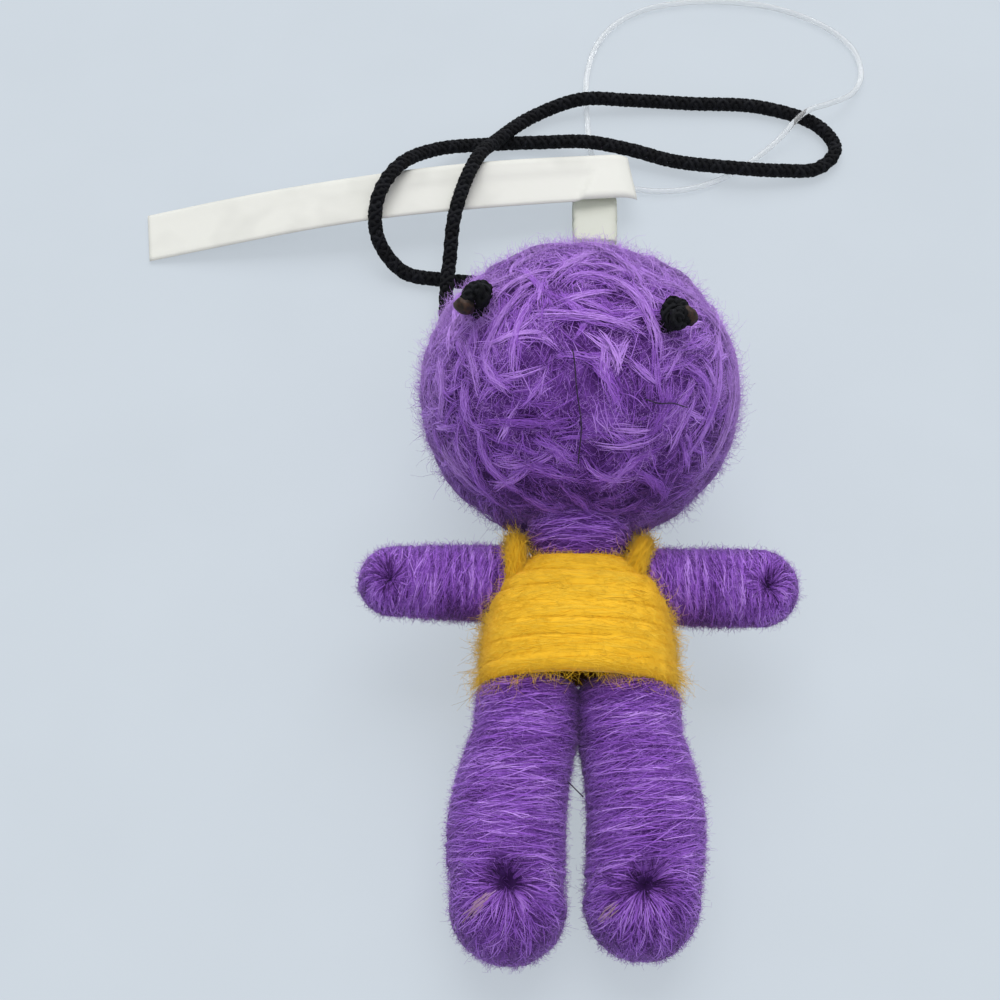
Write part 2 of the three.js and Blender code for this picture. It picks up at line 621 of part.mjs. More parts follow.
piece(doll, 'head_yarn', cut(headBall, ...headCuts), purpleYarn());
const coreCuts = [neckRoom, tube(neckHole, wireRoom, wireSides), ...channels];
piece(doll, 'head_core', cut(underShell(headShell), ...coreCuts), paleWadding());

// Arms and legs
const armSize = {
  rootRadius: armRadius, tipRadius: armRadius, flatness: armFlatness, length: armLength,
  tipPiece: handLength, dimpleRadius: handDimpleRadius, eyeRadius: handEyeRadius,
};
const legSize = {
  rootRadius: legRootRadius, tipRadius: footRadius, flatness: 1, length: legLength,
  tipPiece: footLength, dimpleRadius: footDimpleRadius, eyeRadius: footEyeRadius,
};
for (const [name, side] of [['left', -1], ['right', 1]]) {
  const arm = limbPieces(`arm_winding_${name}`, armSize);
  const armGroup = new THREE.Group();
  armGroup.position.set(side * shoulderX, shoulderY, 0);
  armGroup.rotation.z = (-side * Math.PI) / 2;
  piece(armGroup, `arm_core_${name}`, arm.core, paleWadding());
  piece(armGroup, `arm_wire_${name}`, arm.wire, softWire());
  piece(armGroup, `arm_winding_${name}`, arm.winding, purpleYarn());
  piece(armGroup, `hand_${name}`, arm.tip, purpleYarn());
  doll.add(armGroup);

  const leg = limbPieces(`leg_winding_${name}`, legSize);
  const legGroup = new THREE.Group();
  legGroup.position.set(side * hipX, -hipDrop, 0);
  legGroup.rotation.z = Math.PI + side * legSplay;
  legGroup.updateMatrix();
  const floorUnderLeg = floorSlab.clone().applyMatrix4(legGroup.matrix.clone().invert());
  piece(legGroup, `leg_core_${name}`, leg.core, paleWadding());
  piece(legGroup, `leg_wire_${name}`, leg.wire, softWire());
  piece(legGroup, `leg_winding_${name}`, leg.winding, purpleYarn());
  piece(legGroup, `foot_${name}`, cut(leg.tip, floorUnderLeg), purpleYarn());
  doll.add(legGroup);
}

// The free loop of the hanging cord, from one side of the head round to its crown
const cordPoints = [leftEnd.start, ...cordRoute.map((point) => at(...point)), rightEnd.start];
const cordCurve = new THREE.CatmullRomCurve3(cordPoints, false, 'centripetal');
piece(laid, 'hanging_cord', tube(cordCurve.getSpacedPoints(cordSteps), cordDiameter, cordSides), blackCord());

// The tag's lock lies flat on the floor, and both ends of its filament enter its upper face
const lockShape = new THREE.Shape();
const lockX = lockSize.x / 2 - lockCorner;
const lockY = lockSize.y / 2 - lockCorner;
lockShape.absarc(lockX, lockY, lockCorner, 0, Math.PI / 2);
lockShape.absarc(-lockX, lockY, lockCorner, Math.PI / 2, Math.PI);
lockShape.absarc(-lockX, -lockY, lockCorner, Math.PI, 1.5 * Math.PI);
lockShape.absarc(lockX, -lockY, lockCorner, 1.5 * Math.PI, 2 * Math.PI);
const lockCut = { depth: lockSize.z, curveSegments: lockCornerSteps, bevelEnabled: false };
const lockBody = new THREE.ExtrudeGeometry(lockShape, lockCut);
const lock = piece(laid, 'tag_lock', lockBody, frostedPlastic());
lock.position.set(lockCentre.x, lockCentre.y, lockLift);
const lockMouthY = lockCentre.y + lockSize.y / 2 + seatGap;
const lockMouthZ = lockLift + lockSize.z / 2;
const lockMouths = [-1, 1].map((side) => at(lockCentre.x + side * filamentSpread, lockMouthY, lockMouthZ));
const filamentPoints = [lockMouths[0], ...filamentRoute.map((point) => at(...point)), lockMouths[1]];
const filamentCurve = new THREE.CatmullRomCurve3(filamentPoints, false, 'centripetal');
const filamentRun = filamentCurve.getSpacedPoints(filamentSteps);
piece(laid, 'tag_loop', tube(filamentRun, filamentDiameter, cordSides), clearNylon());

// The paper strip: flat on the floor at its free end, arched in the middle, resting on the lock at the other
const stripTop = [];
const stripUnder = [];
for (let k = 0; k <= stripStations; k += 1) {
  const share = k / stripStations;
  const onLock = lockLift + lockSize.z + seatGap;
  const rise = seatGap + (onLock - seatGap) * share + stripArch * Math.sin(Math.PI * share);
  const along = -stripLength * (1 - share);
  stripUnder.push(new THREE.Vector2(along, rise));
  stripTop.unshift(new THREE.Vector2(along, rise + stripThickness));
}
const stripSide = new THREE.Shape([...stripUnder, ...stripTop]);
const stripBody = new THREE.ExtrudeGeometry(stripSide, { depth: stripWidth, bevelEnabled: false });
stripBody.rotateX(Math.PI / 2).translate(0, stripWidth / 2, 0);
const strip = piece(laid, 'tag_strip', stripBody, barePaper());
strip.position.set(lockCentre.x + stripPastLock.x, lockCentre.y + stripPastLock.y, 0);
strip.rotation.z = stripTurn;

// The origin lies on the floor under the middle of the doll
whole.updateMatrixWorld(true);
const dollBox = new THREE.Box3().setFromObject(doll, true);
const dollMiddle = dollBox.getCenter(new THREE.Vector3());
laid.position.set(-dollMiddle.x, -dollMiddle.y, 0);
console.log(`doll middle ${dollMiddle.y.toFixed(3)} mm from the hem`);
console.log(`free cord ${cordCurve.getLength().toFixed(1)} mm`);
console.log(`filament ${filamentCurve.getLength().toFixed(1)} mm`);

export default whole;
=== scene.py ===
"""Dresses the yarn-wound string doll: its wool, its dress, its braided cord and its bare paper tag."""

import json
import math
from dataclasses import dataclass

import bpy
import numpy as np
from bpy.props import FloatProperty, FloatVectorProperty, IntProperty, PointerProperty
from mathutils import Matrix, Vector


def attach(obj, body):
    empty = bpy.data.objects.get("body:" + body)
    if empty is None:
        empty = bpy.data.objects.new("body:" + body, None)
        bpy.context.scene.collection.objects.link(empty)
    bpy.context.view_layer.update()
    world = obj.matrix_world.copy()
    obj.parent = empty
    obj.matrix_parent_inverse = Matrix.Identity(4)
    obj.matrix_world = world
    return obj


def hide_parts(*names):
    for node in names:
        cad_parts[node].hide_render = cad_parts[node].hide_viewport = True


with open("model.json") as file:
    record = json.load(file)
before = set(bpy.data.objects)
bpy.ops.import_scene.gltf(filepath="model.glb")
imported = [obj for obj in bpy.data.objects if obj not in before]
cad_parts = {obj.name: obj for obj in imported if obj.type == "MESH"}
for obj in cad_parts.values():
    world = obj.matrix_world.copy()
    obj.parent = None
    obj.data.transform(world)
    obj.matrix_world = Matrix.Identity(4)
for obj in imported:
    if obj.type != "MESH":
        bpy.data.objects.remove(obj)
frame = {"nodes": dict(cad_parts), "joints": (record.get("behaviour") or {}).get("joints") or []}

bl_info = {
    "name": "Yarn Doll",
    "version": (1, 0, 0),
    "blender": (4, 5, 0),
    "location": "3D View > Sidebar > Yarn Doll",
    "description": "Builds the wool, cord and tag of a posable string doll over its packed solids",
    "category": "Object",
}

MM = 0.001
TURN = 2 * math.pi
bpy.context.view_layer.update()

# How far a strand is shaded like the surface that it lies on rather than like a thread of its own
SOFT_SHARE = 0.75

# The doll's own axes in the frame: across the body, along it from the hem to the head, and out of its back
JOINTS = {joint["name"]: joint for joint in frame["joints"]}
NECK = np.array(JOINTS["head_nod"]["pos_m"])
ALONG = np.array(JOINTS["head_turn"]["axis"]) / np.linalg.norm(JOINTS["head_turn"]["axis"])
ACROSS = np.array([1.0, 0.0, 0.0])
BACK = np.cross(ACROSS, ALONG)
AXES = np.stack([ACROSS, ALONG, BACK])
NECK_RISE = 21 * MM
HEM = NECK - NECK_RISE * ALONG
HEAD_RISE = 41 * MM

# Where the hanging cord leaves the head and is knotted, as directions from the middle of the lying head
LEFT_KNOT, LEFT_EXIT = (-0.65, 0.10, 0.75), (-0.75, 0.60, -0.28)
RIGHT_KNOT, RIGHT_EXIT = (0.50, -0.04, 0.86), (0.10, 0.97, -0.20)
SEAT_GAP = 0.3 * MM
KNOT_RADIUS = 2.1 * MM
CHANNEL_DEPTH = 4.5 * MM

# The routes of the free cord and of the tag's filament on the table, in millimetres from the hem
CORD_ROUTE = [
    (-16.4, 54.6, 8.5), (-17.2, 57.6, 4.2), (-18.3, 61.5, 1.8), (-19.1, 66.0, 1.4), (-19.1, 71.0, 3.2),
    (-18.8, 75.0, 3.9), (-18.3, 81.0, 6.4), (-16.7, 87.6, 7.6), (-14.6, 94.0, 6.6), (-12.4, 98.8, 4.0),
    (-6.4, 106.5, 1.6), (1.5, 109.9, 2.3), (9.6, 110.5, 1.7), (19.6, 110.5, 1.2), (31.2, 110.0, 1.2),
    (40.2, 106.3, 1.2), (42.8, 101.2, 1.2), (39.6, 97.0, 1.3), (33.5, 95.9, 1.9), (25.5, 95.9, 2.4),
    (16.5, 97.6, 1.7), (9.4, 99.5, 2.1), (2.5, 100.7, 2.4), (-4.5, 101.2, 1.5), (-13.2, 100.8, 1.2),
    (-21.6, 97.6, 3.4), (-27.4, 90.6, 7.1), (-30.2, 83.4, 7.3), (-29.9, 78.4, 4.4), (-26.0, 74.6, 1.3),
    (-20.3, 73.3, 1.2), (-14.1, 72.8, 1.2), (-8.8, 71.8, 2.2), (-4.0, 69.4, 5.2), (-0.4, 65.8, 9.6),
]
FILAMENT_ROUTE = [
    (2.4, 89.2, 1.9), (2.6, 93.0, 1.1), (3.6, 97.5, 0.6), (3.1, 101.0, 0.6), (2.7, 107.0, 0.6),
    (2.5, 112.6, 0.6), (2.9, 118.2, 0.6), (4.5, 124.0, 0.6), (7.6, 128.7, 0.6), (12.8, 132.4, 0.6),
    (20.6, 134.4, 0.6), (27.5, 134.6, 0.6), (35.2, 133.4, 0.6), (41.0, 130.8, 0.6), (45.4, 127.4, 0.6),
    (48.1, 123.2, 0.6), (48.6, 118.0, 0.6), (46.4, 113.1, 1.4), (42.4, 109.8, 2.7), (38.0, 107.2, 3.2),
    (33.0, 102.0, 1.5), (28.1, 97.9, 0.6), (23.1, 94.5, 0.6), (18.2, 92.7, 0.6), (13.4, 92.2, 0.6),
    (8.6, 92.4, 0.8), (4.8, 89.2, 1.9),
]
BRAID_PITCH = 4.4 * MM

# The lock's place on the table and its outline along it: place and width, both as shares
LOCK_CENTRE = (3.6, 84.4)
LOCK_LIFT = 0.3 * MM
LOCK_SIDES = 48
LOCK_ROUNDNESS = 0.28
LOCK_PROFILE = (
    (-0.5, 0.88), (-0.495, 0.93), (-0.46, 0.97), (-0.1, 0.99), (-0.08, 0.96), (-0.02, 0.96), (0.0, 1.0),
    (0.40, 1.0), (0.46, 0.98), (0.495, 0.93), (0.5, 0.86),
)

# The paper strip's place on the table and its arch, its doubled half, the slanting flap and the drooping end
STRIP_END = (9.5, 92.3)
STRIP_TURN = math.radians(8.7)
STRIP_ARCH = 3.0 * MM
STRIP_STATIONS, STRIP_ACROSS = 150, 15
STEP_RISE = 0.3 * MM
FLAP_FROM, FLAP_SLANT, FLAP_EDGE, FLAP_TILT = 0.877, 0.032, 0.007, 0.22 * MM
DROOP_FROM, DROOP = 0.965, 0.8 * MM


class DollSizes(bpy.types.PropertyGroup):
    """Sizes of the doll, its cord and its tag"""

    head_half: FloatVectorProperty(
        name="Head", description="Half width, half length and half depth of the wound head",
        default=(0.0216, 0.0204, 0.0205), unit="LENGTH",
    )
    neck_radius: FloatProperty(
        name="Neck", description="Radius of the neck roll", default=0.0058, unit="LENGTH",
    )
    dress_height: FloatProperty(
        name="Dress height", description="From the hem to the top edge", default=0.017, unit="LENGTH",
    )
    dress_band_count: IntProperty(
        name="Dress bands", description="Soft bands of yarn that show across the dress", default=7, min=1,
    )
    strap_diameter: FloatProperty(
        name="Strap", description="Thickness of a shoulder strap", default=0.0028, unit="LENGTH",
    )
    arm_radius: FloatProperty(
        name="Arm radius", description="Half width of an arm", default=0.005, unit="LENGTH",
    )
    arm_length: FloatProperty(
        name="Arm length", description="From the shoulder to the tip", default=0.0156, unit="LENGTH",
    )
    arm_flatness: FloatProperty(
        name="Arm flatness", description="Depth of an arm over its width", default=0.88, subtype="FACTOR",
    )
    leg_root_radius: FloatProperty(
        name="Thigh radius", description="Radius of a leg at the hip", default=0.0062, unit="LENGTH",
    )
    foot_radius: FloatProperty(
        name="Foot radius", description="Radius of a leg at the foot", default=0.007, unit="LENGTH",
    )
    leg_length: FloatProperty(
        name="Leg length", description="From the hip to the tip", default=0.028, unit="LENGTH",
    )
    cord_diameter: FloatProperty(
        name="Cord", description="Diameter of the braided cord", default=0.0022, unit="LENGTH",
    )
    filament_diameter: FloatProperty(
        name="Filament", description="Diameter of the tag's filament", default=0.0009, unit="LENGTH",
    )
    lock_size: FloatVectorProperty(
        name="Lock", description="Width, length and height of the tag's lock", default=(0.007, 0.009, 0.0032),
        unit="LENGTH",
    )
    strip_size: FloatVectorProperty(
        name="Strip", description="Length, width and thickness of the paper strip",
        default=(0.0765, 0.009, 0.0003), unit="LENGTH",
    )


class DollFibres(bpy.types.PropertyGroup):
    """How the wool is spun: strand counts and thicknesses"""

    strand_radius: FloatProperty(
        name="Strand radius", description="Radius of one spun strand", default=0.000075, unit="LENGTH",
    )
    hair_radius: FloatProperty(
        name="Hair radius", description="Radius of one loose hair", default=0.000022, unit="LENGTH",
    )
    yarn_pitch: FloatProperty(
        name="Yarn pitch", description="Distance between rows of yarn on a limb", default=0.00115,
        unit="LENGTH",
    )
    bundle_plies: IntProperty(
        name="Bundle plies", description="Strands in one yarn bundle of the head", default=44,
    )
    head_strands: IntProperty(
        name="Head strands", description="Felted strands in each layer of the head", default=7500,
    )
    head_hairs: IntProperty(
        name="Head hairs", description="Loose hairs in each layer round the head", default=9400,
    )
    tuft_plies: IntProperty(
        name="Tuft plies", description="Strands in one tuft of the head's felt", default=18, min=1,
    )
    neck_strands: IntProperty(name="Neck strands", description="Strands wound round the neck", default=2200)
    dress_strands: IntProperty(
        name="Dress strands", description="Strands along the dress bands", default=4000,
    )
    dress_hairs: IntProperty(
        name="Dress hairs", description="Loose hairs in each layer on the dress", default=7000,
    )
    strap_strands: IntProperty(name="Strap strands", description="Strands in one strap", default=1800)
    arm_strands: IntProperty(name="Arm strands", description="Strands wound round one arm", default=3500)
    leg_strands: IntProperty(name="Leg strands", description="Strands wound round one leg", default=3500)
    limb_hairs: IntProperty(name="Limb hairs", description="Loose hairs in each layer on a leg", default=9000)
    seed: IntProperty(name="Seed", description="Start of the random spread of the fibres", default=11)


class DollColours(bpy.types.PropertyGroup):
    """Colours of the yarns, the cord, the tag and the floor"""

    purple_dark: FloatVectorProperty(
        name="Purple shade", description="Deep tone of the purple wool", subtype="COLOR",
        default=(0.065, 0.0135, 0.138),
    )
    purple_mid: FloatVectorProperty(
        name="Purple", description="Main tone of the purple wool", subtype="COLOR",
        default=(0.32, 0.11, 0.63),
    )
    purple_light: FloatVectorProperty(
        name="Purple light", description="Pale tone of the purple wool", subtype="COLOR",
        default=(0.58, 0.31, 0.90),
    )
    yellow_dark: FloatVectorProperty(
        name="Yellow shade", description="Deep tone of the yellow wool", subtype="COLOR",
        default=(0.92, 0.42, 0.010),
    )
    yellow_mid: FloatVectorProperty(
        name="Yellow", description="Main tone of the yellow wool", subtype="COLOR", default=(1.0, 0.55, 0.02),
    )
    yellow_light: FloatVectorProperty(
        name="Yellow light", description="Pale tone of the yellow wool", subtype="COLOR",
        default=(1.0, 0.61, 0.045),
    )
    cord_black: FloatVectorProperty(
        name="Cord", description="Black of the braid", subtype="COLOR", default=(0.0045, 0.005, 0.007),
    )
    melted_brown: FloatVectorProperty(
        name="Melted tip", description="Singed end of the cord", subtype="COLOR",
        default=(0.05, 0.024, 0.015),
    )
    paper: FloatVectorProperty(
        name="Paper", description="Bare paper of the tag", subtype="COLOR", default=(0.74, 0.74, 0.69),
    )
    frosted: FloatVectorProperty(
        name="Lock", description="Frosted plastic of the lock", subtype="COLOR", default=(0.79, 0.80, 0.67),
    )
    nylon: FloatVectorProperty(
        name="Filament", description="Clear nylon of the filament", subtype="COLOR",
        default=(0.93, 0.95, 0.96),
    )
    wadding: FloatVectorProperty(
        name="Wadding", description="Dull padding inside a limb", subtype="COLOR",
        default=(0.33, 0.21, 0.165),
    )
    wire: FloatVectorProperty(
        name="Wire", description="Soft wire of the skeleton", subtype="COLOR", default=(0.55, 0.55, 0.54),
    )
    floor: FloatVectorProperty(
        name="Floor", description="Pale table under the doll", subtype="COLOR", default=(0.555, 0.61, 0.665),
    )


class DollSettings(bpy.types.PropertyGroup):
    """Everything that can be changed on the doll"""

    sizes: PointerProperty(type=DollSizes)
    fibres: PointerProperty(type=DollFibres)
    colours: PointerProperty(type=DollColours)


def unit(vectors):
    """Vectors at a length of one"""
    vectors = np.asarray(vectors, float)
    return vectors / np.maximum(np.linalg.norm(vectors, axis=-1, keepdims=True), 1e-12)


def lying(points):
    """Doll points (across, along from the hem, out of the back) as the doll lies in the frame"""
    return HEM + np.asarray(points, float) @ AXES


def turned(vectors):
    """Doll directions as the doll lies in the frame"""
    return np.asarray(vectors, float) @ AXES


def on_table(points):
    """Route points in millimetres from the hem, in the frame"""
    return np.asarray(points, float) * MM + np.array([0.0, HEM[1], 0.0])


class WoolMesh:
    """Gathers closed strands and skins, then makes one mesh of them with a tone at each point and a map"""

    def __init__(self):
        self.points, self.tones, self.normals, self.faces, self.maps, self.total = [], [], [], [], [], 0

    def _keep(self, points, tones, normals, groups):
        """Add points with their tones and normals, and groups of faces with their spots on the map"""
        self.points.append(points.reshape(-1, 3))
        self.normals.append(normals.reshape(-1, 3))
        self.tones.append(np.broadcast_to(tones, points.shape[:-1]).reshape(-1))
        for corners, spots in groups:
            self.faces.append(corners + self.total)
            self.maps.append(spots)
        self.total += self.points[-1].shape[0]

    def strands(self, paths, outward, radius, tone, sides=3, flat=1.0, soft=None):
        """Closed tubes along paths (strand, station, xyz), flat along outward, shaded with soft normals"""
        count, stations = paths.shape[:2]
        run = unit(np.gradient(paths, axis=1))
        aside = unit(np.cross(run, outward))
        rise = np.cross(aside, run)
        angle = TURN * (0.25 + (np.arange(sides) - 0.5) / sides)
        width, height = np.cos(angle)[:, None], flat * np.sin(angle)[:, None]
        ring = width * aside[:, :, None] + height * rise[:, :, None]
        points = paths[:, :, None] + np.broadcast_to(radius, (count, stations))[:, :, None, None] * ring
        index = np.arange(count * stations * sides).reshape(count, stations, sides)
        after = np.roll(index, -1, axis=2)
        sheath = np.stack([index[:, :-1], index[:, 1:], after[:, 1:], after[:, :-1]], -1)
        columns = math.ceil(math.sqrt(count))
        cell = np.stack([np.arange(count) % columns, np.arange(count) // columns], -1)[:, None, None]
        station = np.arange(stations - 1)[:, None]
        side = np.arange(sides)[None]

        def spot(across, up):
            """A place on the map, in each strand's own cell"""
            grid = np.broadcast_arrays(across / sides, up / (stations - 1))
            return (cell + 0.08 + 0.84 * np.stack(grid, -1)[None]) / columns

        corners = ((0, 0), (0, 1), (1, 1), (1, 0))
        sheath_map = np.stack([spot(side + across, station + up) for across, up in corners], -2)
        lids = np.concatenate([index[:, 0], index[:, -1, ::-1]])
        bottom = spot(side, 0.3 * (side % 2))[:, 0]
        lid_map = np.concatenate([bottom, bottom[:, ::-1]])
        tones = np.broadcast_to(tone, (count, stations))[:, :, None]
        normals = unit(ring)
        if soft is not None:
            normals = unit(SOFT_SHARE * soft[:, :, None] + (1 - SOFT_SHARE) * normals)
        self._keep(points, tones, normals, [
            (sheath.reshape(-1, 4), sheath_map.reshape(-1, 4, 2)), (lids, lid_map),
        ])

    def skin(self, rings, tone):
        """A closed skin over rings (ring, point, xyz), drawn to a point at each end"""
        count, around = rings.shape[:2]
        points = np.concatenate([rings.reshape(-1, 3), rings[0].mean(0)[None], rings[-1].mean(0)[None]])
        index = np.arange(count * around).reshape(count, around)
        after = np.roll(index, -1, axis=1)
        walls = np.stack([index[:-1], after[:-1], after[1:], index[1:]], -1).reshape(-1, 4)
        first, last = np.full(around, count * around), np.full(around, count * around + 1)
        lids = np.concatenate([
            np.stack([first, after[0], index[0]], -1), np.stack([last, index[-1], after[-1]], -1),
        ])
        a, b, c = points[walls[:, 0]], points[walls[:, 1]], points[walls[:, 2]]
        middle = points.mean(0)
        if np.einsum("ij,ij->i", np.cross(b - a, c - a), a - middle).sum() < 0:
            walls, lids = walls[:, ::-1], lids[:, ::-1]
        row, column = np.divmod(np.arange(count * around), around)
        flat = np.stack([column / around, 0.1 + 0.8 * row / (count - 1)], -1)
        flat = np.concatenate([flat, [[0.5, 0.0], [0.5, 1.0]]])
        tone = np.broadcast_to(tone, (count, around)).reshape(-1)
        tones = np.append(tone, tone[[0, -1]])
        self._keep(points, tones, np.zeros_like(points), [(walls, flat[walls]), (lids, flat[lids])])

    def build(self, name, material):
        """The finished object, smooth, with its material"""
        points = np.concatenate(self.points)
        corners = np.concatenate([face.reshape(-1) for face in self.faces])
        sizes = np.concatenate([np.full(len(face), face.shape[1]) for face in self.faces])
        mesh = bpy.data.meshes.new(name)
        mesh.vertices.add(len(points))
        mesh.vertices.foreach_set("co", points.astype(np.float32).reshape(-1))
        mesh.loops.add(len(corners))
        mesh.loops.foreach_set("vertex_index", corners.astype(np.int32))
        mesh.polygons.add(len(sizes))
        mesh.polygons.foreach_set("loop_start", (np.cumsum(sizes) - sizes).astype(np.int32))
        mesh.update(calc_edges=True)
        mesh.shade_smooth()
        tone = mesh.attributes.new("tone", "FLOAT", "POINT")
        tone.data.foreach_set("value", np.concatenate(self.tones).astype(np.float32))
        floor, laid_out = 0.0, []
        for spots in self.maps:
            share = spots.shape[0] / len(sizes)
            laid_out.append((spots * [1.0, share] + [0.0, floor]).reshape(-1))
            floor += share
        layer = mesh.uv_layers.new(name="OFBake")
        layer.data.foreach_set("uv", np.concatenate(laid_out).astype(np.float32))
        mesh.normals_split_custom_set_from_vertices(np.concatenate(self.normals))
        mesh.materials.append(material)
        made = bpy.data.objects.new(name, mesh)
        bpy.context.scene.collection.objects.link(made)
        return made


def smooth_route(points, spacing):
    """A centripetal curve through the points, at an even spacing"""
    points = np.asarray(points, float)
    padded = np.concatenate([[2 * points[0] - points[1]], points, [2 * points[-1] - points[-2]]])
    share = np.linspace(0, 1, 24, endpoint=False)[:, None]
    fine = []
    for before, start, end, after in zip(padded[:-3], padded[1:-2], padded[2:-1], padded[3:]):
        spans = ((before, start), (start, end), (end, after))
        lead, mid, trail = (math.sqrt(np.linalg.norm(b - a)) for a, b in spans)
        leave = ((start - before) / lead - (end - before) / (lead + mid) + (end - start) / mid) * mid
        reach = ((end - start) / mid - (after - start) / (mid + trail) + (after - end) / trail) * mid
        bend = 2 * start - 2 * end + leave + reach
        ease = 3 * end - 3 * start - 2 * leave - reach
        fine.append(((bend * share + ease) * share + leave) * share + start)
    line = np.concatenate([*fine, points[-1:]])
    run = np.concatenate([[0], np.cumsum(np.linalg.norm(np.diff(line, axis=0), axis=1))])
    even = np.linspace(0, run[-1], max(2, round(run[-1] / spacing)) + 1)
    return np.stack([np.interp(even, run, line[:, k]) for k in range(3)], -1)


def carried_normals(path):
    """A normal at each point of a path that turns with it and never twists"""
    run = unit(np.gradient(path, axis=0))
    normal = unit(np.cross(run[0], np.roll(run[0], 1) + [0.1, 0.2, 0.3]))
    normals = []
    for direction in run:
        normal = unit(normal - direction * (normal @ direction))
        normals.append(normal)
    return np.array(normals), np.cross(run, normals)


# The braid's flat strands, half of them wound each way, and its sizes over its radius
BRAID_STRANDS = 8
BRAID_CORE = 0.74
BRAID_MIDDLE = 0.80
BRAID_WEAVE = 0.10
BRAID_STRAND_RADIUS = 0.42
BRAID_FLATNESS = 0.45


def add_braid(wool, path, radius, pitch):
    """A round braid of flat strands over a core, along an evenly spaced path"""
    normal, aside = carried_normals(path)
    wool.strands(path[None], normal[None], BRAID_CORE * radius, 0.12, sides=10)
    travel = np.concatenate([[0], np.cumsum(np.linalg.norm(np.diff(path, axis=0), axis=1))])
    lines, outs = [], []
    for k in range(BRAID_STRANDS):
        way = 1 if k % 2 else -1
        own = way * TURN * travel / pitch
        angle = own + TURN * (k // 2) / (BRAID_STRANDS // 2)
        over = BRAID_WEAVE * way * np.cos(BRAID_STRANDS // 2 * own + math.pi * (k // 2))
        out = np.cos(angle)[:, None] * normal + np.sin(angle)[:, None] * aside
        lines.append(path + radius * (BRAID_MIDDLE + over)[:, None] * out)
        outs.append(out)
    tone = 0.45 + 0.15 * np.sin(np.arange(BRAID_STRANDS) * 2.4)[:, None]
    thick = BRAID_STRAND_RADIUS * radius
    wool.strands(np.array(lines), np.array(outs), thick, tone, sides=5, flat=BRAID_FLATNESS)


class Wiring:
    """Short ways to add, feed and link the nodes of one material or shader group"""

    def __init__(self, tree):
        self.nodes, self.link = tree.nodes, tree.links.new

    def fill(self, node, **values):
        """Feed a node's inputs, named with _ for a space, from other sockets or with fixed values"""
        for label, value in values.items():
            socket = node.inputs[label.replace("_", " ")]
            if isinstance(value, bpy.types.NodeSocket):
                self.link(value, socket)
            else:
                socket.default_value = value

    def group(self, group, **values):
        """The outputs of a shared node group placed here"""
        node = self.nodes.new("ShaderNodeGroup")
        node.node_tree = group
        self.fill(node, **values)
        return node.outputs

    def maths(self, operation, *values):
        """One step of maths on sockets and numbers"""
        step = self.nodes.new("ShaderNodeMath")
        step.operation = operation
        for socket, value in zip(step.inputs, values):
            if isinstance(value, bpy.types.NodeSocket):
                self.link(value, socket)
            else:
                socket.default_value = value
        return step.outputs[0]

    def ranged(self, value, start=(0.0, 1.0), end=(0.0, 1.0)):
        """A value carried from one range into another"""
        step = self.nodes.new("ShaderNodeMapRange")
        self.fill(step, Value=value, From_Min=start[0], From_Max=start[1], To_Min=end[0], To_Max=end[1])
        return step.outputs["Result"]

    def mixed(self, factor, first, second):
        """A colour between two others"""
        mix = self.nodes.new("ShaderNodeMix")
        mix.data_type = "RGBA"
        self.fill(mix, Factor=factor, A=first, B=second)
        return mix.outputs["Result"]

    def noise(self, place, scale, detail=2.0):
        """A soft noise at a place"""
        texture = self.nodes.new("ShaderNodeTexNoise")
        self.fill(texture, Vector=place, Scale=scale, Detail=detail)
        return texture.outputs["Fac"]

    def bump(self, height, strength, distance):
        """A normal that follows a height"""
        node = self.nodes.new("ShaderNodeBump")
        self.fill(node, Height=height, Strength=strength, Distance=distance)
        return node.outputs["Normal"]


def node_group(name, inputs, outputs):
    """An empty shader group with its named sockets"""
    group = bpy.data.node_groups.new(name, "ShaderNodeTree")
    for label, kind, default in inputs:
        socket = group.interface.new_socket(label, in_out="INPUT", socket_type=kind)
        socket.default_value = default
    for label, kind in outputs:
        group.interface.new_socket(label, in_out="OUTPUT", socket_type=kind)
    return group, group.nodes.new("NodeGroupInput").outputs, group.nodes.new("NodeGroupOutput")


# The near black that tones below zero reach, for the stray dark threads and the deepest painted shade, and
# the fine specks along every strand
DEEPEST = (0.01, 0.006, 0.01, 1)
SPECK_SCALE = 2600.0
SPECK_AMOUNT = 0.12


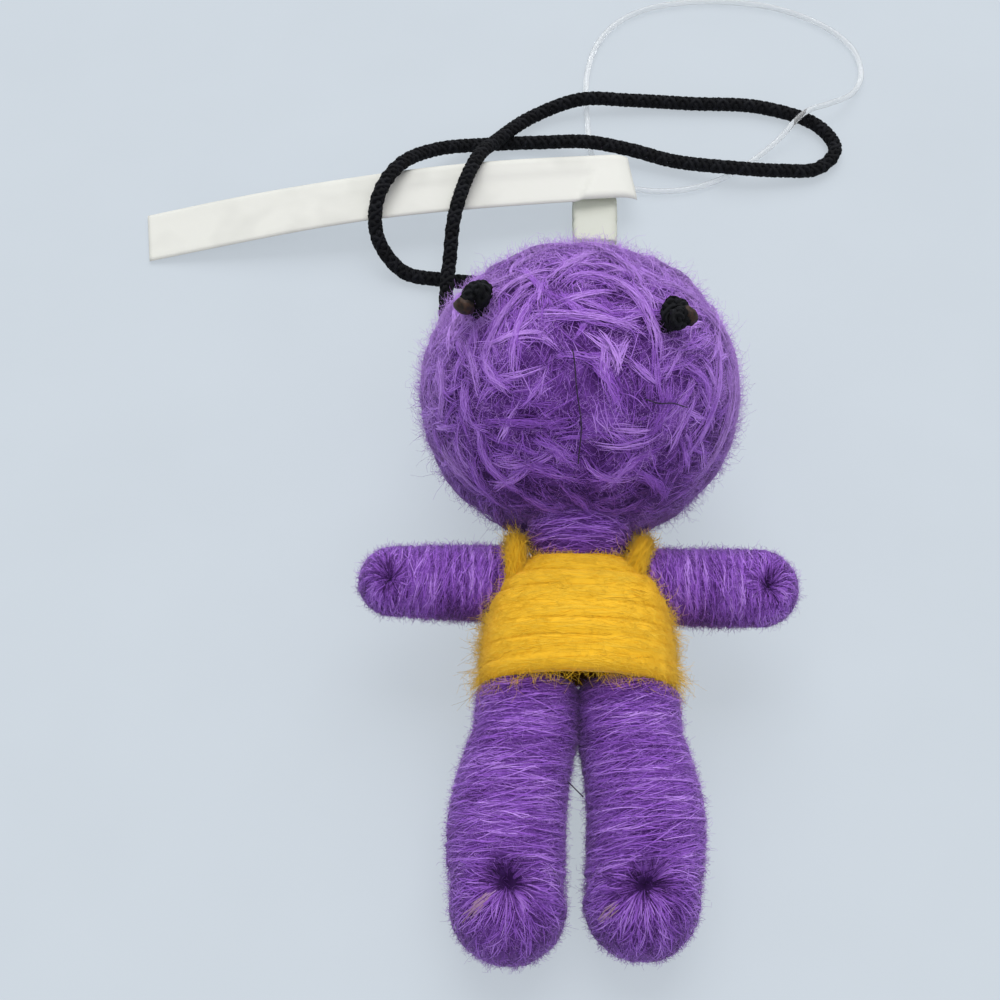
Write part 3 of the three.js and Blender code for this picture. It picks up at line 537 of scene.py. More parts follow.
def fibre_colour_group():
    """Three tones mixed by each strand's own tone and by soft patches, with a roughness that follows"""
    found = bpy.data.node_groups.get("fibre colour")
    if found:
        return found
    group, taken, given = node_group(
        "fibre colour",
        [("Dark", "NodeSocketColor", (0, 0, 0, 1)), ("Mid", "NodeSocketColor", (0.5, 0.5, 0.5, 1)),
         ("Light", "NodeSocketColor", (1, 1, 1, 1)), ("Core", "NodeSocketColor", (1, 1, 1, 1)),
         ("Patch Scale", "NodeSocketFloat", 300.0), ("Patch Amount", "NodeSocketFloat", 0.3)],
        [("Color", "NodeSocketColor"), ("Roughness", "NodeSocketFloat")],
    )
    wiring = Wiring(group)
    attribute = wiring.nodes.new("ShaderNodeAttribute")
    attribute.attribute_name = "tone"
    own = attribute.outputs["Fac"]
    place = wiring.nodes.new("ShaderNodeTexCoord").outputs["Object"]
    specks = wiring.ranged(wiring.noise(place, SPECK_SCALE), end=(-SPECK_AMOUNT, SPECK_AMOUNT))
    patches = wiring.maths("SUBTRACT", wiring.noise(place, taken["Patch Scale"], 4.0), 0.5)
    tone = wiring.maths("MULTIPLY_ADD", patches, taken["Patch Amount"], wiring.maths("ADD", own, specks))
    colour = taken["Dark"]
    steps = ((tone, 0.0, 0.5, "Mid"), (tone, 0.5, 1.0, "Light"), (own, 1.0, 1.5, "Core"))
    for value, low, high, label in steps:
        colour = wiring.mixed(wiring.ranged(value, (low, high)), colour, taken[label])
    colour = wiring.mixed(wiring.ranged(own, (-0.5, 0.0)), DEEPEST, colour)
    wiring.fill(given, Color=colour, Roughness=wiring.ranged(tone, end=(0.95, 0.72)))
    return group


def fine_grain_group():
    """A fine height from one noise and a soft cloud from another, for every surface"""
    found = bpy.data.node_groups.get("fine grain")
    if found:
        return found
    group, taken, given = node_group(
        "fine grain",
        [("Scale", "NodeSocketFloat", 2000.0), ("Stretch", "NodeSocketVector", (1, 1, 1))],
        [("Height", "NodeSocketFloat"), ("Cloud", "NodeSocketFloat")],
    )
    wiring = Wiring(group)
    place = wiring.nodes.new("ShaderNodeTexCoord").outputs["Object"]
    scaled = wiring.nodes.new("ShaderNodeVectorMath")
    scaled.operation = "MULTIPLY"
    wiring.link(place, scaled.inputs[0])
    wiring.link(taken["Stretch"], scaled.inputs[1])
    height = wiring.noise(scaled.outputs[0], taken["Scale"], 6.0)
    wiring.fill(given, Height=height, Cloud=wiring.noise(place, 120.0))
    return group


def bare_material(name):
    """A new material with its shader and the wiring of its nodes"""
    material = bpy.data.materials.new(name)
    material.use_nodes = True
    wiring = Wiring(material.node_tree)
    return material, wiring.nodes["Principled BSDF"], wiring


def opaque(colour):
    """A colour with full cover, as sockets take it"""
    return (*colour, 1.0)


def paler(colour, share):
    """A colour drawn towards white"""
    return Vector(colour).lerp(Vector((1, 1, 1)), share)


def yarn_material(name, dark, mid, light, core, patch_scale, patch_amount, sheen):
    """Wool or braid: toned strands, a soft sheen and a fine grain"""
    found = bpy.data.materials.get(name)
    if found:
        return found
    material, shader, wiring = bare_material(name)
    tones = wiring.group(
        fibre_colour_group(), Dark=opaque(dark), Mid=opaque(mid), Light=opaque(light), Core=opaque(core),
        Patch_Scale=patch_scale, Patch_Amount=patch_amount,
    )
    grain = wiring.group(fine_grain_group(), Scale=9000.0)
    wiring.fill(
        shader, Base_Color=tones["Color"], Roughness=tones["Roughness"], Specular_IOR_Level=0.2,
        Sheen_Weight=sheen, Sheen_Roughness=0.5, Sheen_Tint=opaque(paler(light, 0.15)),
        Normal=wiring.bump(grain["Height"], 0.35, 0.04 * MM),
    )
    return material


def purple_wool(colours):
    """The wool of the head, the neck, the arms and the legs"""
    return yarn_material(
        "purple wool", colours.purple_dark, colours.purple_mid, colours.purple_light, colours.wadding,
        patch_scale=220.0, patch_amount=0.5, sheen=0.8,
    )


def yellow_wool(colours):
    """The wool of the dress and its straps"""
    return yarn_material(
        "yellow wool", colours.yellow_dark, colours.yellow_mid, colours.yellow_light, colours.wadding,
        patch_scale=260.0, patch_amount=0.35, sheen=1.0,
    )


def black_braid(colours):
    """The synthetic braid of the hanging cord, without sheen"""
    black = Vector(colours.cord_black)
    return yarn_material(
        "black braid", 0.4 * black, black, 3.0 * black, black, patch_scale=700.0, patch_amount=0.4, sheen=0.0,
    )


def grained_material(name, first, second, mask, grain, bump, rough=None, **fixed):
    """Two colours by a range of the grain's height or cloud, with a bump and a roughness of the same grain"""
    material, shader, wiring = bare_material(name)
    grain = wiring.group(fine_grain_group(), **grain)
    source, *cover = mask
    wiring.fill(
        shader, Base_Color=wiring.mixed(wiring.ranged(grain[source], cover), opaque(first), opaque(second)),
        Normal=wiring.bump(grain["Height"], *bump), **fixed,
    )
    if rough:
        wiring.fill(shader, Roughness=wiring.ranged(grain["Height"], end=rough))
    return material


def melted_tip(colours):
    """Singed synthetic cord: brown and black, half glossy, pitted"""
    return grained_material(
        "melted tip", (0.012, 0.009, 0.008), colours.melted_brown, ("Height", 0.38, 0.62), {"Scale": 1500.0},
        (0.6, 0.2 * MM), Roughness=0.55, Specular_IOR_Level=0.25,
    )


def bare_paper(colours):
    """Coated paper with a faint fibre grain and a few soft stains"""
    return grained_material(
        "bare paper", colours.paper, 0.86 * Vector(colours.paper), ("Cloud", 0.5, 0.8),
        {"Scale": 1400.0, "Stretch": (0.5, 1.0, 1.0)}, (0.2, 0.05 * MM), (0.55, 0.8),
    )


def frosted_plastic(colours):
    """Milky moulded plastic that lets some light through"""
    return grained_material(
        "frosted plastic", colours.frosted, paler(colours.frosted, 0.4), ("Cloud", 0.0, 1.0),
        {"Scale": 2600.0}, (0.25, 0.1 * MM), (0.35, 0.6), Transmission_Weight=0.45, IOR=1.45,
    )


def clear_nylon(colours):
    """Clear drawn nylon with a faint unevenness"""
    return grained_material(
        "clear nylon", colours.nylon, (1, 1, 1), ("Cloud", 0.0, 1.0), {"Scale": 1800.0}, (0.1, 0.05 * MM),
        Roughness=0.18, Transmission_Weight=0.8, IOR=1.3,
    )


def soft_wire(colours):
    """Drawn soft wire with a dull, finely scratched finish"""
    return grained_material(
        "soft wire", colours.wire, 0.7 * Vector(colours.wire), ("Cloud", 0.0, 1.0),
        {"Scale": 3000.0, "Stretch": (1.0, 0.1, 1.0)}, (0.15, 0.05 * MM), (0.3, 0.55), Metallic=1.0,
    )


# Strands are a little flat, and stray threads are dark and stout
STRAND_FLATNESS = 0.8
STRAY_RADIUS = 0.1 * MM
STRAY_TONE = -0.5

# The spread of the hairs' lengths and rises, and how much of a dip below the table a hair keeps
LENGTH_SHAPE = 6.0
RISE_SHAPE = 2.0
TABLE_GIVE = 0.05
HAIR_STATIONS = 4
HAIR_KINK = 0.42


def strand_spread(stations):
    """Stations from -1 to 1 along a strand, and the taper of its radius"""
    place = np.linspace(-1, 1, stations)[None]
    return place, 1 - 0.7 * np.abs(place) ** 3


def hairs(wool, rng, start, outward, along, length, rise, radius, tone):
    """Loose kinked hairs that leave a surface at a rise and bend over along it"""
    count, stations = len(start), HAIR_STATIONS
    kink = np.cumsum(rng.normal(0, HAIR_KINK, (count, stations - 1, 3)), axis=1)
    share = np.linspace(0, 1, stations - 1)[None, :, None]
    heading = unit(along[:, None] + kink + rise[:, None, None] * (1 - 0.9 * share) * outward[:, None])
    steps = heading * (length / (stations - 1))[:, None, None]
    path = start[:, None] + np.concatenate([np.zeros((count, 1, 3)), np.cumsum(steps, axis=1)], axis=1)
    path[..., 2] = np.where(path[..., 2] < 0, TABLE_GIVE * path[..., 2], path[..., 2])
    thin = radius * (1 - 0.5 * np.linspace(0, 1, stations))[None]
    soft = np.broadcast_to(outward[:, None], path.shape)
    wool.strands(path, np.cross(outward, along)[:, None] + 0.3 * soft, thin, tone[:, None], soft=soft)


def turned_about(vectors, axis, angle):
    """Tangent vectors turned in the surface, about unit outward normals"""
    return np.cos(angle)[:, None] * vectors + np.sin(angle)[:, None] * np.cross(axis, vectors)


# Out of the doll's back in its own axes, how deep a dimple is pressed, and the steepest slope of a normal
OUT = np.array([0.0, 0.0, 1.0])
DIMPLE_DEPTH = 0.7
STEEPEST = 6


@dataclass
class Limb:
    """A wound arm or leg on its own axis: a round root, a straight run and a round tip, dimpled on both faces

    The crease is the spot against the body that is painted with shade, as a place along the limb and an angle
    round it.
    """

    origin: np.ndarray
    along: np.ndarray
    across: np.ndarray
    root: float
    root_reach: float
    tip: float
    flatness: float
    length: float
    dimple_at: float
    dimple_radius: float
    bulge: float
    bow: float
    lean: float
    crease_at: tuple
    crease_size: float

    @property
    def round_from(self):
        """Where the round tip starts"""
        return self.length - self.tip

    def radius(self, s):
        """Half width at a place along the limb"""
        share = np.clip(s / self.round_from, 0, 1)
        run = self.root + (self.tip - self.root) * share + self.bulge * np.sin(math.pi * share ** 1.25)
        before = self.root * np.sqrt(np.maximum(1 - np.abs(np.minimum(s, 0) / self.root_reach) ** 7, 0))
        past = np.maximum(s - self.round_from, 0)
        after = np.sqrt(np.maximum(self.tip ** 2 - past ** 2, 0))
        return np.where(s < 0, before, np.where(past > 0, after, run))

    def pit(self, aside, s):
        """How far into a dimple a point of either face is, from 0 to 1"""
        return np.exp(-((aside ** 2 + (s - self.dimple_at) ** 2) / self.dimple_radius ** 2))

    def shade(self, s, angle):
        """How far a point is in the painted shade of the crease between the limb and the body, from 0 to 1"""
        off = 2 * np.sin(0.5 * (angle - self.crease_at[1]))
        return np.exp(-((s - self.crease_at[0]) / self.crease_size) ** 2 - (off / 0.75) ** 2)

    def place(self, aside, s, depth):
        """Limb points in the frame, with the dimples pressed in"""
        depth = depth * (1 - DIMPLE_DEPTH * self.pit(aside, s))
        share = np.clip(s / self.round_from, 0, 1)
        swung = aside + self.bow * np.sin(math.pi * share) - self.lean * (1 - share) ** 4
        flat = swung[..., None] * self.across + s[..., None] * self.along
        return lying(self.origin + flat + depth[..., None] * OUT)

    def way(self, aside, s, depth):
        """Limb directions in the frame"""
        flat = aside[..., None] * self.across + s[..., None] * self.along
        return turned(unit(flat + depth[..., None] * OUT))

    def wrap(self, s, angle, lift):
        """Points and normals round the limb at a height over its skin"""
        step = 0.05 * MM
        slope = (self.radius(s + step) - self.radius(s - step)) / (2 * step)
        slope = np.clip(slope, -STEEPEST, STEEPEST)
        radius = self.radius(s) + lift
        point = self.place(radius * np.cos(angle), s, self.flatness * radius * np.sin(angle))
        return point, self.way(np.cos(angle), -slope, np.sin(angle) / self.flatness)

    def over_tip(self, angle, tilt, lift):
        """Points and normals on the strands that run out of one dimple, over the tip and into the other"""
        back = self.dimple_at - self.round_from
        edge = -back * np.cos(angle) + np.sqrt(self.tip ** 2 - (back * np.sin(angle)) ** 2)
        reach = edge * np.sin(tilt)
        aside, s = reach * np.sin(angle), self.dimple_at + reach * np.cos(angle)
        depth = np.sqrt(np.maximum(self.radius(s) ** 2 - aside ** 2, 0)) * np.sign(np.cos(tilt))
        outs = np.sin(tilt) * np.sin(angle), np.sin(tilt) * np.cos(angle), np.cos(tilt)
        point = self.place(aside + lift * outs[0], s + lift * outs[1], self.flatness * depth + lift * outs[2])
        return point, self.way(*outs), self.pit(aside, s)


def limb_skin(wool, limb):
    """The closed skin under a limb's strands, darker over the tip and with painted shade in the dimples"""
    s = np.concatenate([
        -limb.root_reach * np.cos(np.linspace(0.1, math.pi / 2, 8)), np.linspace(0, limb.round_from, 22)[1:],
        limb.round_from + limb.tip * np.sin(np.linspace(0, 1.52, 12)[1:]),
    ])
    angle = TURN * np.arange(40) / 40
    rings, _ = limb.wrap(s[:, None], angle[None], np.full((1, 1), -0.3 * MM))
    ground = 0.3 - 0.16 * (s[:, None] > limb.round_from)
    # Painted shade in the dimples; the skin is also darker over the tip
    wool.skin(rings, ground - 0.5 * limb.pit(limb.radius(s)[:, None] * np.cos(angle), s[:, None]))


def limb_rows(wool, limb, strands, fibres, rng):
    """Strands in rows round a limb, each row painted paler on its crown than in its hollows, with painted
    shade in the dimples and in the crease against the body
    """
    place, taper = strand_spread(7)
    pitch = fibres.yarn_pitch
    low, high = -0.85 * limb.root_reach, limb.dimple_at - 0.5 * limb.dimple_radius
    rows = round((high - low) / pitch)
    row = rng.integers(0, rows, strands)
    s0 = low + (row + 0.5) * pitch + rng.normal(0, 0.32 * pitch, strands)
    reach = rng.uniform(0.2, 0.6, strands)
    slope = rng.normal(0.15, 0.2, strands)
    turn = rng.uniform(0, TURN, strands)[:, None] + reach[:, None] * place
    wander = rng.normal(0, 0.13 * MM, (strands, 1)) * np.sin(3 * place + rng.uniform(0, TURN, (strands, 1)))
    run = s0[:, None] + slope[:, None] * limb.root * reach[:, None] * place + wander
    layer = rng.beta(2.2, 1.6, strands)
    patchy = 0.5 + 0.5 * np.sin(2 * turn + 2.9 * row[:, None])
    ridge = 0.16 * MM * patchy * np.cos(TURN * (run - low - 0.5 * pitch) / pitch)
    lift = (layer[:, None] - 0.95) * 0.36 * MM + ridge - 0.1 * MM * place ** 2
    path, outward = limb.wrap(run, turn, lift)
    thick = fibres.strand_radius * rng.uniform(0.55, 1.15, strands)[:, None] * taper
    swing = 0.09 * np.sin(5.1 * row) + 0.09 * np.sin(2 * turn[:, 3] + row)
    # Painted light and shade: lower strands and the hollows between rows are darker, the row crowns paler
    hollow = 0.4 * patchy[:, 3] * np.cos(TURN * (s0 - low - 0.5 * pitch) / pitch)
    tone = np.clip(0.19 + 0.32 * layer + swing + hollow + rng.normal(0, 0.17, strands), 0, 1)[:, None]
    # Painted shade in the dimples and in the crease against the body
    pit = limb.pit(limb.radius(run) * np.cos(turn), run)
    tone = tone - 0.6 * pit - 0.55 * limb.shade(run, turn)
    wool.strands(path, outward, thick, tone, flat=STRAND_FLATNESS, soft=outward)


def limb_tip(wool, limb, count, patches, fibres, rng):
    """Strands that run out of the dimples over a limb's tip, darker in a band round its end and with painted
    shade in the dimples, with bald patches
    """
    collar = count // 6
    angle, tilt = rng.uniform(-1.9, 1.9, count), rng.uniform(0.12, math.pi - 0.12, count)
    angle[:collar] = rng.uniform(1.9, TURN - 1.9, collar)
    tilt[:collar] = 0.5 * math.pi + rng.choice([-1, 1], collar) * rng.uniform(1.1, 1.4, collar)
    layer = rng.beta(2.2, 1.6, count)
    clump = np.sin(7 * angle + 3 * np.sin(2.3 * angle) + 4 * tilt)
    # A band round the tip's end is darker, patchy with the clumps
    dark_end_band = np.exp(-((np.abs(tilt - 0.5 * math.pi) - 0.35) / 0.4) ** 2) * (0.6 - 0.4 * clump)
    # Painted shade: lower strands are darker
    tone = 0.3 + 0.34 * layer + 0.2 * clump - 0.55 * dark_end_band + rng.normal(0, 0.2, count)
    tone = np.clip(tone, -0.05, 0.85)
    first = collar
    for patch in patches:
        bald = patch["strands"]
        bare = slice(first, first + bald)
        angle[bare] = patch["angle"] + rng.normal(0, 0.06, bald)
        tilt[bare] = patch["tilt"] + rng.normal(0, patch["spread"], bald)
        tone[bare] = patch["tone"] + rng.normal(0, 0.08, bald)
        layer[bare] = rng.uniform(0.6, 1.0, bald)
        first += bald
    place, taper = strand_spread(9)
    cross = rng.normal(0, 0.08, (count, 1))
    length = rng.uniform(0.12, 0.3, (count, 1))
    cross[collar:first] *= 0.2
    length[:first] *= 0.75
    angle = angle[:, None] + cross * place
    tilt = np.clip(tilt[:, None] + length * place, 0.04, math.pi - 0.04)
    lift = (layer[:, None] - 0.6) * 0.4 * MM - 0.12 * MM * place ** 2
    path, outward, pit = limb.over_tip(angle, tilt, lift)
    thick = fibres.strand_radius * rng.uniform(0.6, 1.3, count)[:, None] * taper
    # Painted shade in the dimples
    wool.strands(path, outward, thick, tone[:, None] - 0.55 * pit, flat=STRAND_FLATNESS, soft=outward)


def wound_limb(name, limb, strands, patches, threads, fibres, colours, rng):
    """Purple yarn wound along a limb and wrapped over its tip, with bald patches and stray dark threads"""
    wool = WoolMesh()
    share = np.linspace(0, 1, 12)[None]
    for thread in threads:
        s = thread["start"] + thread["run"] * share
        path, _ = limb.wrap(s, thread["angle"] + 0 * share, thread["stand"] * share)
        wool.strands(path, np.broadcast_to(BACK, path.shape), 0.9 * STRAY_RADIUS, STRAY_TONE)
    limb_skin(wool, limb)
    limb_rows(wool, limb, strands, fibres, rng)
    limb_tip(wool, limb, strands // 2, patches, fibres, rng)
    return wool.build(name, purple_wool(colours))


# The layers of hairs on a limb: kind, scale of the length, rise and tone
LIMB_HAIRS = (("fuzz", 0.14 * MM, 0.42, 0.42), ("halo", 0.12 * MM, 1.0, 0.62))


def limb_fuzz(name, limb, count, length, rise, shade, fibres, colours, rng):
    """Short kinked hairs all over a limb"""
    wool = WoolMesh()
    s = rng.uniform(-0.6 * limb.root_reach, limb.length - 0.02 * limb.tip, count)
    angle = rng.uniform(0, TURN, count)
    crease = count // 14
    s[:crease] = limb.crease_at[0] + rng.normal(0, 0.6 * limb.crease_size, crease)
    angle[:crease] = limb.crease_at[1] + rng.normal(0, 0.5, crease)
    start, outward = limb.wrap(s, angle, np.full(count, -0.15 * MM))
    round_way = unit(np.cross(outward, turned(limb.along))) * rng.choice([-1, 1], (count, 1))
    along = turned_about(round_way, outward, rng.normal(0, 0.6, count))
    # Painted shade: hairs in the dimples and in the crease against the body are darker
    tone = np.clip(rng.normal(shade, 0.25, count), 0, 1) - 0.6 * limb.pit(limb.radius(s) * np.cos(angle), s)
    tone = tone - 0.45 * limb.shade(s, angle)
    length, rise = rng.gamma(LENGTH_SHAPE, length, count), rng.gamma(RISE_SHAPE, rise, count)
    hairs(wool, rng, start, outward, along, length, rise, fibres.hair_radius, tone)
    return wool.build(name, purple_wool(colours))


class Ball:
    """The wound ball of the head or neck"""

    def __init__(self, middle, half):
        self.middle, self.half = np.array(middle), np.array(half)
        self.size = self.half.mean()

    def wrap(self, way, lift):
        """Points and normals over the ball at a height over its skin"""
        outward = unit(way / self.half)
        return lying(self.middle + unit(way) * self.half + lift[..., None] * outward), turned(outward)

    def arcs(self, way, along, bend, reach, shift, lift):
        """Strands laid on the ball, each from its middle along a tangent, bowed and shifted aside"""
        angle = (reach / self.size)[..., None]
        aside = np.cross(way, along)[:, None]
        off = (bend[:, None] * angle[..., 0] ** 2 + shift / self.size)[..., None]
        path = way[:, None] * np.cos(angle) + along[:, None] * np.sin(angle) + aside * off
        return self.wrap(path, lift)

    def through(self, spots, place, shift, lift):
        """Strands through three spots each, at places from -1 to 1 along them, shifted aside"""
        t = place[..., None]
        start, middle, end = (spots[:, k][:, None] for k in range(3))
        path = unit(0.5 * t * (t - 1) * start + (1 - t ** 2) * middle + 0.5 * t * (t + 1) * end)
        run = (t - 0.5) * start - 2 * t * middle + (t + 0.5) * end
        aside = unit(np.cross(path, run))
        return self.wrap(path + aside * (shift / self.size)[..., None], lift)

    def rings(self, rows, around):
        """Directions of a ring net over the ball"""
        rise = np.linspace(0.04, math.pi - 0.04, rows)[:, None]
        angle = TURN * np.arange(around) / around
        ways = np.sin(rise) * np.cos(angle), np.cos(rise), np.sin(rise) * np.sin(angle)
        return np.stack(np.broadcast_arrays(*ways), -1)


def painted_light_and_neck_shade(way):
    """Painted light and shade: how much paler the head's wool is painted towards its top and sides, as a
    painted highlight and rim sheen, less a painted shade in the crease at the neck
    """
    crease = np.clip((-way[:, 1] - 0.65) / 0.25, 0, 1)
    return 0.38 * np.clip(way[:, 1] + 1.2 * np.abs(way[:, 0]) - 0.3, 0, 0.8) - 0.34 * crease


def spread_ways(rng, count):
    """Even random directions"""
    return unit(rng.normal(0, 1, (count, 3)))


# The patches in which the felt of the head lies one way, and their size
COMB_PATCHES = 110
COMB_SIZE = 0.17


def combed(rng, way, stray):
    """A tangent at each direction that changes slowly over the ball, as felted wool lies"""
    centres, axes = spread_ways(rng, COMB_PATCHES), spread_ways(rng, COMB_PATCHES)
    weight = np.exp((way @ centres.T - 1) / COMB_SIZE ** 2)
    along = unit(np.cross(weight @ axes, way))
    return turned_about(along, way, rng.normal(0, stray, len(way)))


class Tufts:
    """Soft lumps all over a ball, about -1 to 1 high"""

    def __init__(self, rng, waves, low, high):
        self.axes = spread_ways(rng, waves) * rng.uniform(low, high, (waves, 1))
        self.start = rng.uniform(0, TURN, waves)

    def height(self, way):
        """The height of the lumps at each direction"""
        return np.sin(way @ self.axes.T + self.start).sum(-1) / math.sqrt(len(self.start))


# Yarn bundles on the back of the head, seen from above its feet: start, middle and end, in head radii
SEEN_TURN = math.radians(30)
SEEN_BUNDLES = [
    ((-0.64, -0.22), (-0.36, -0.24), (-0.08, -0.23)), ((-0.71, 0.02), (-0.70, -0.13), (-0.67, -0.27)),
    ((-0.34, 0.62), (-0.50, 0.40), (-0.60, 0.12)), ((-0.28, 0.60), (-0.40, 0.34), (-0.42, 0.02)),
    ((-0.60, 0.20), (-0.55, 0.06), (-0.44, -0.06)), ((-0.32, 0.43), (0.02, 0.42), (0.34, 0.33)),
    ((-0.18, 0.60), (-0.08, 0.48), (0.06, 0.38)), ((0.12, 0.70), (0.34, 0.48), (0.42, 0.10)),
    ((-0.14, 0.64), (0.04, 0.70), (0.22, 0.62)), ((0.08, 0.90), (-0.06, 0.80), (-0.22, 0.68)),
    ((0.10, 0.90), (0.24, 0.78), (0.34, 0.62)), ((0.02, 0.18), (0.12, 0.02), (0.20, -0.18)),
    ((-0.30, -0.32), (-0.16, -0.40), (-0.02, -0.52)), ((-0.44, -0.46), (-0.22, -0.52), (0.02, -0.60)),
    ((0.36, -0.40), (0.24, -0.50), (0.12, -0.64)), ((0.54, 0.16), (0.70, 0.04), (0.72, -0.14)),
    ((0.46, 0.02), (0.44, -0.16), (0.34, -0.32)), ((0.92, 0.20), (0.88, -0.20), (0.66, -0.62)),
    ((0.80, 0.32), (0.78, -0.04), (0.62, -0.42)), ((-0.92, -0.16), (-0.84, -0.40), (-0.66, -0.66)),
    ((-0.88, 0.22), (-0.84, 0.00), (-0.86, -0.24)), ((-0.62, -0.34), (-0.52, -0.52), (-0.34, -0.68)),
]
NAPE_BUNDLES = [
    ((-0.40, -0.62), (-0.26, -0.72), (-0.08, -0.78)), ((0.06, -0.74), (0.22, -0.76), (0.38, -0.68)),
    ((0.30, -0.52), (0.42, -0.58), (0.52, -0.70)), ((-0.16, -0.60), (-0.02, -0.70), (0.10, -0.82)),
    ((-0.66, -0.44), (-0.60, -0.60), (-0.46, -0.76)),
]
STRAY_THREADS = [
    ((-0.09, 0.20), (-0.04, -0.14), (-0.03, -0.47)), ((0.33, -0.09), (0.45, -0.10), (0.58, -0.11)),
]
KNOT_WISPS = 70
FAR_BUNDLES = 44
FAR_BUNDLES_FROM = 0.3
FAR_BUNDLE_TURN = math.radians(67)
BUNDLE_HALF_RUN = 7 * MM
GOLDEN_TURN = math.pi * (3 - math.sqrt(5))


def from_sight(way):
    """Directions given as picture right, picture up and towards the eye, in the doll's own axes"""
    c, s = math.cos(SEEN_TURN), math.sin(SEEN_TURN)
    right, up, near = np.moveaxis(np.asarray(way, float), -1, 0)
    return np.stack([right, up * c - near * s, up * s + near * c], -1) @ AXES.T


def seen_spots(spots):
    """Directions of spots on the back of the head from their places in the picture"""
    spots = np.asarray(spots, float)
    near = np.sqrt(1 - (spots ** 2).sum(-1, keepdims=True))
    return from_sight(np.concatenate([spots, near], -1))


def head_bundles(size):
    """Three spots along each yarn bundle of the head, those in the picture first"""
    bundles = [seen_spots(SEEN_BUNDLES)]
    for k in range(FAR_BUNDLES):
        height = FAR_BUNDLES_FROM + (-1 - FAR_BUNDLES_FROM) * (k + 0.5) / FAR_BUNDLES
        wide = math.sqrt(1 - height ** 2)
        middle = np.array([wide * math.cos(GOLDEN_TURN * k), wide * math.sin(GOLDEN_TURN * k), height])
        along = unit([-middle[1], middle[0], 0.0])[None]
        along = turned_about(along, middle[None], np.array([FAR_BUNDLE_TURN * k]))[0]
        swing = BUNDLE_HALF_RUN / size
        ends = [middle * math.cos(a) + along * math.sin(a) for a in (-swing, swing)]
        bundles.append(from_sight([[ends[0], middle, ends[1]]]))
    return np.concatenate(bundles)


# The head's layers of felt: name, depth in millimetres, tone, and whether the strands lie in tufts; the
# deeper a layer, the darker its tone, as painted shade
HEAD_FELT = (
    ("head_underlay", 0.42, 0.06, False), ("head_felt", 0.3, 0.2, True), ("head_tufts", 0.16, 0.38, True),
)
# The head's layers of hairs: name, scale of the length in millimetres, rise and tone; the outer layers are
# paler as a painted sheen round the rim
HEAD_HAIRS = (
    ("head_fuzz", 0.16, 0.5, 0.5), ("head_halo", 0.26, 0.9, 0.8), ("head_fringe", 0.24, 1.0, 0.88),
)


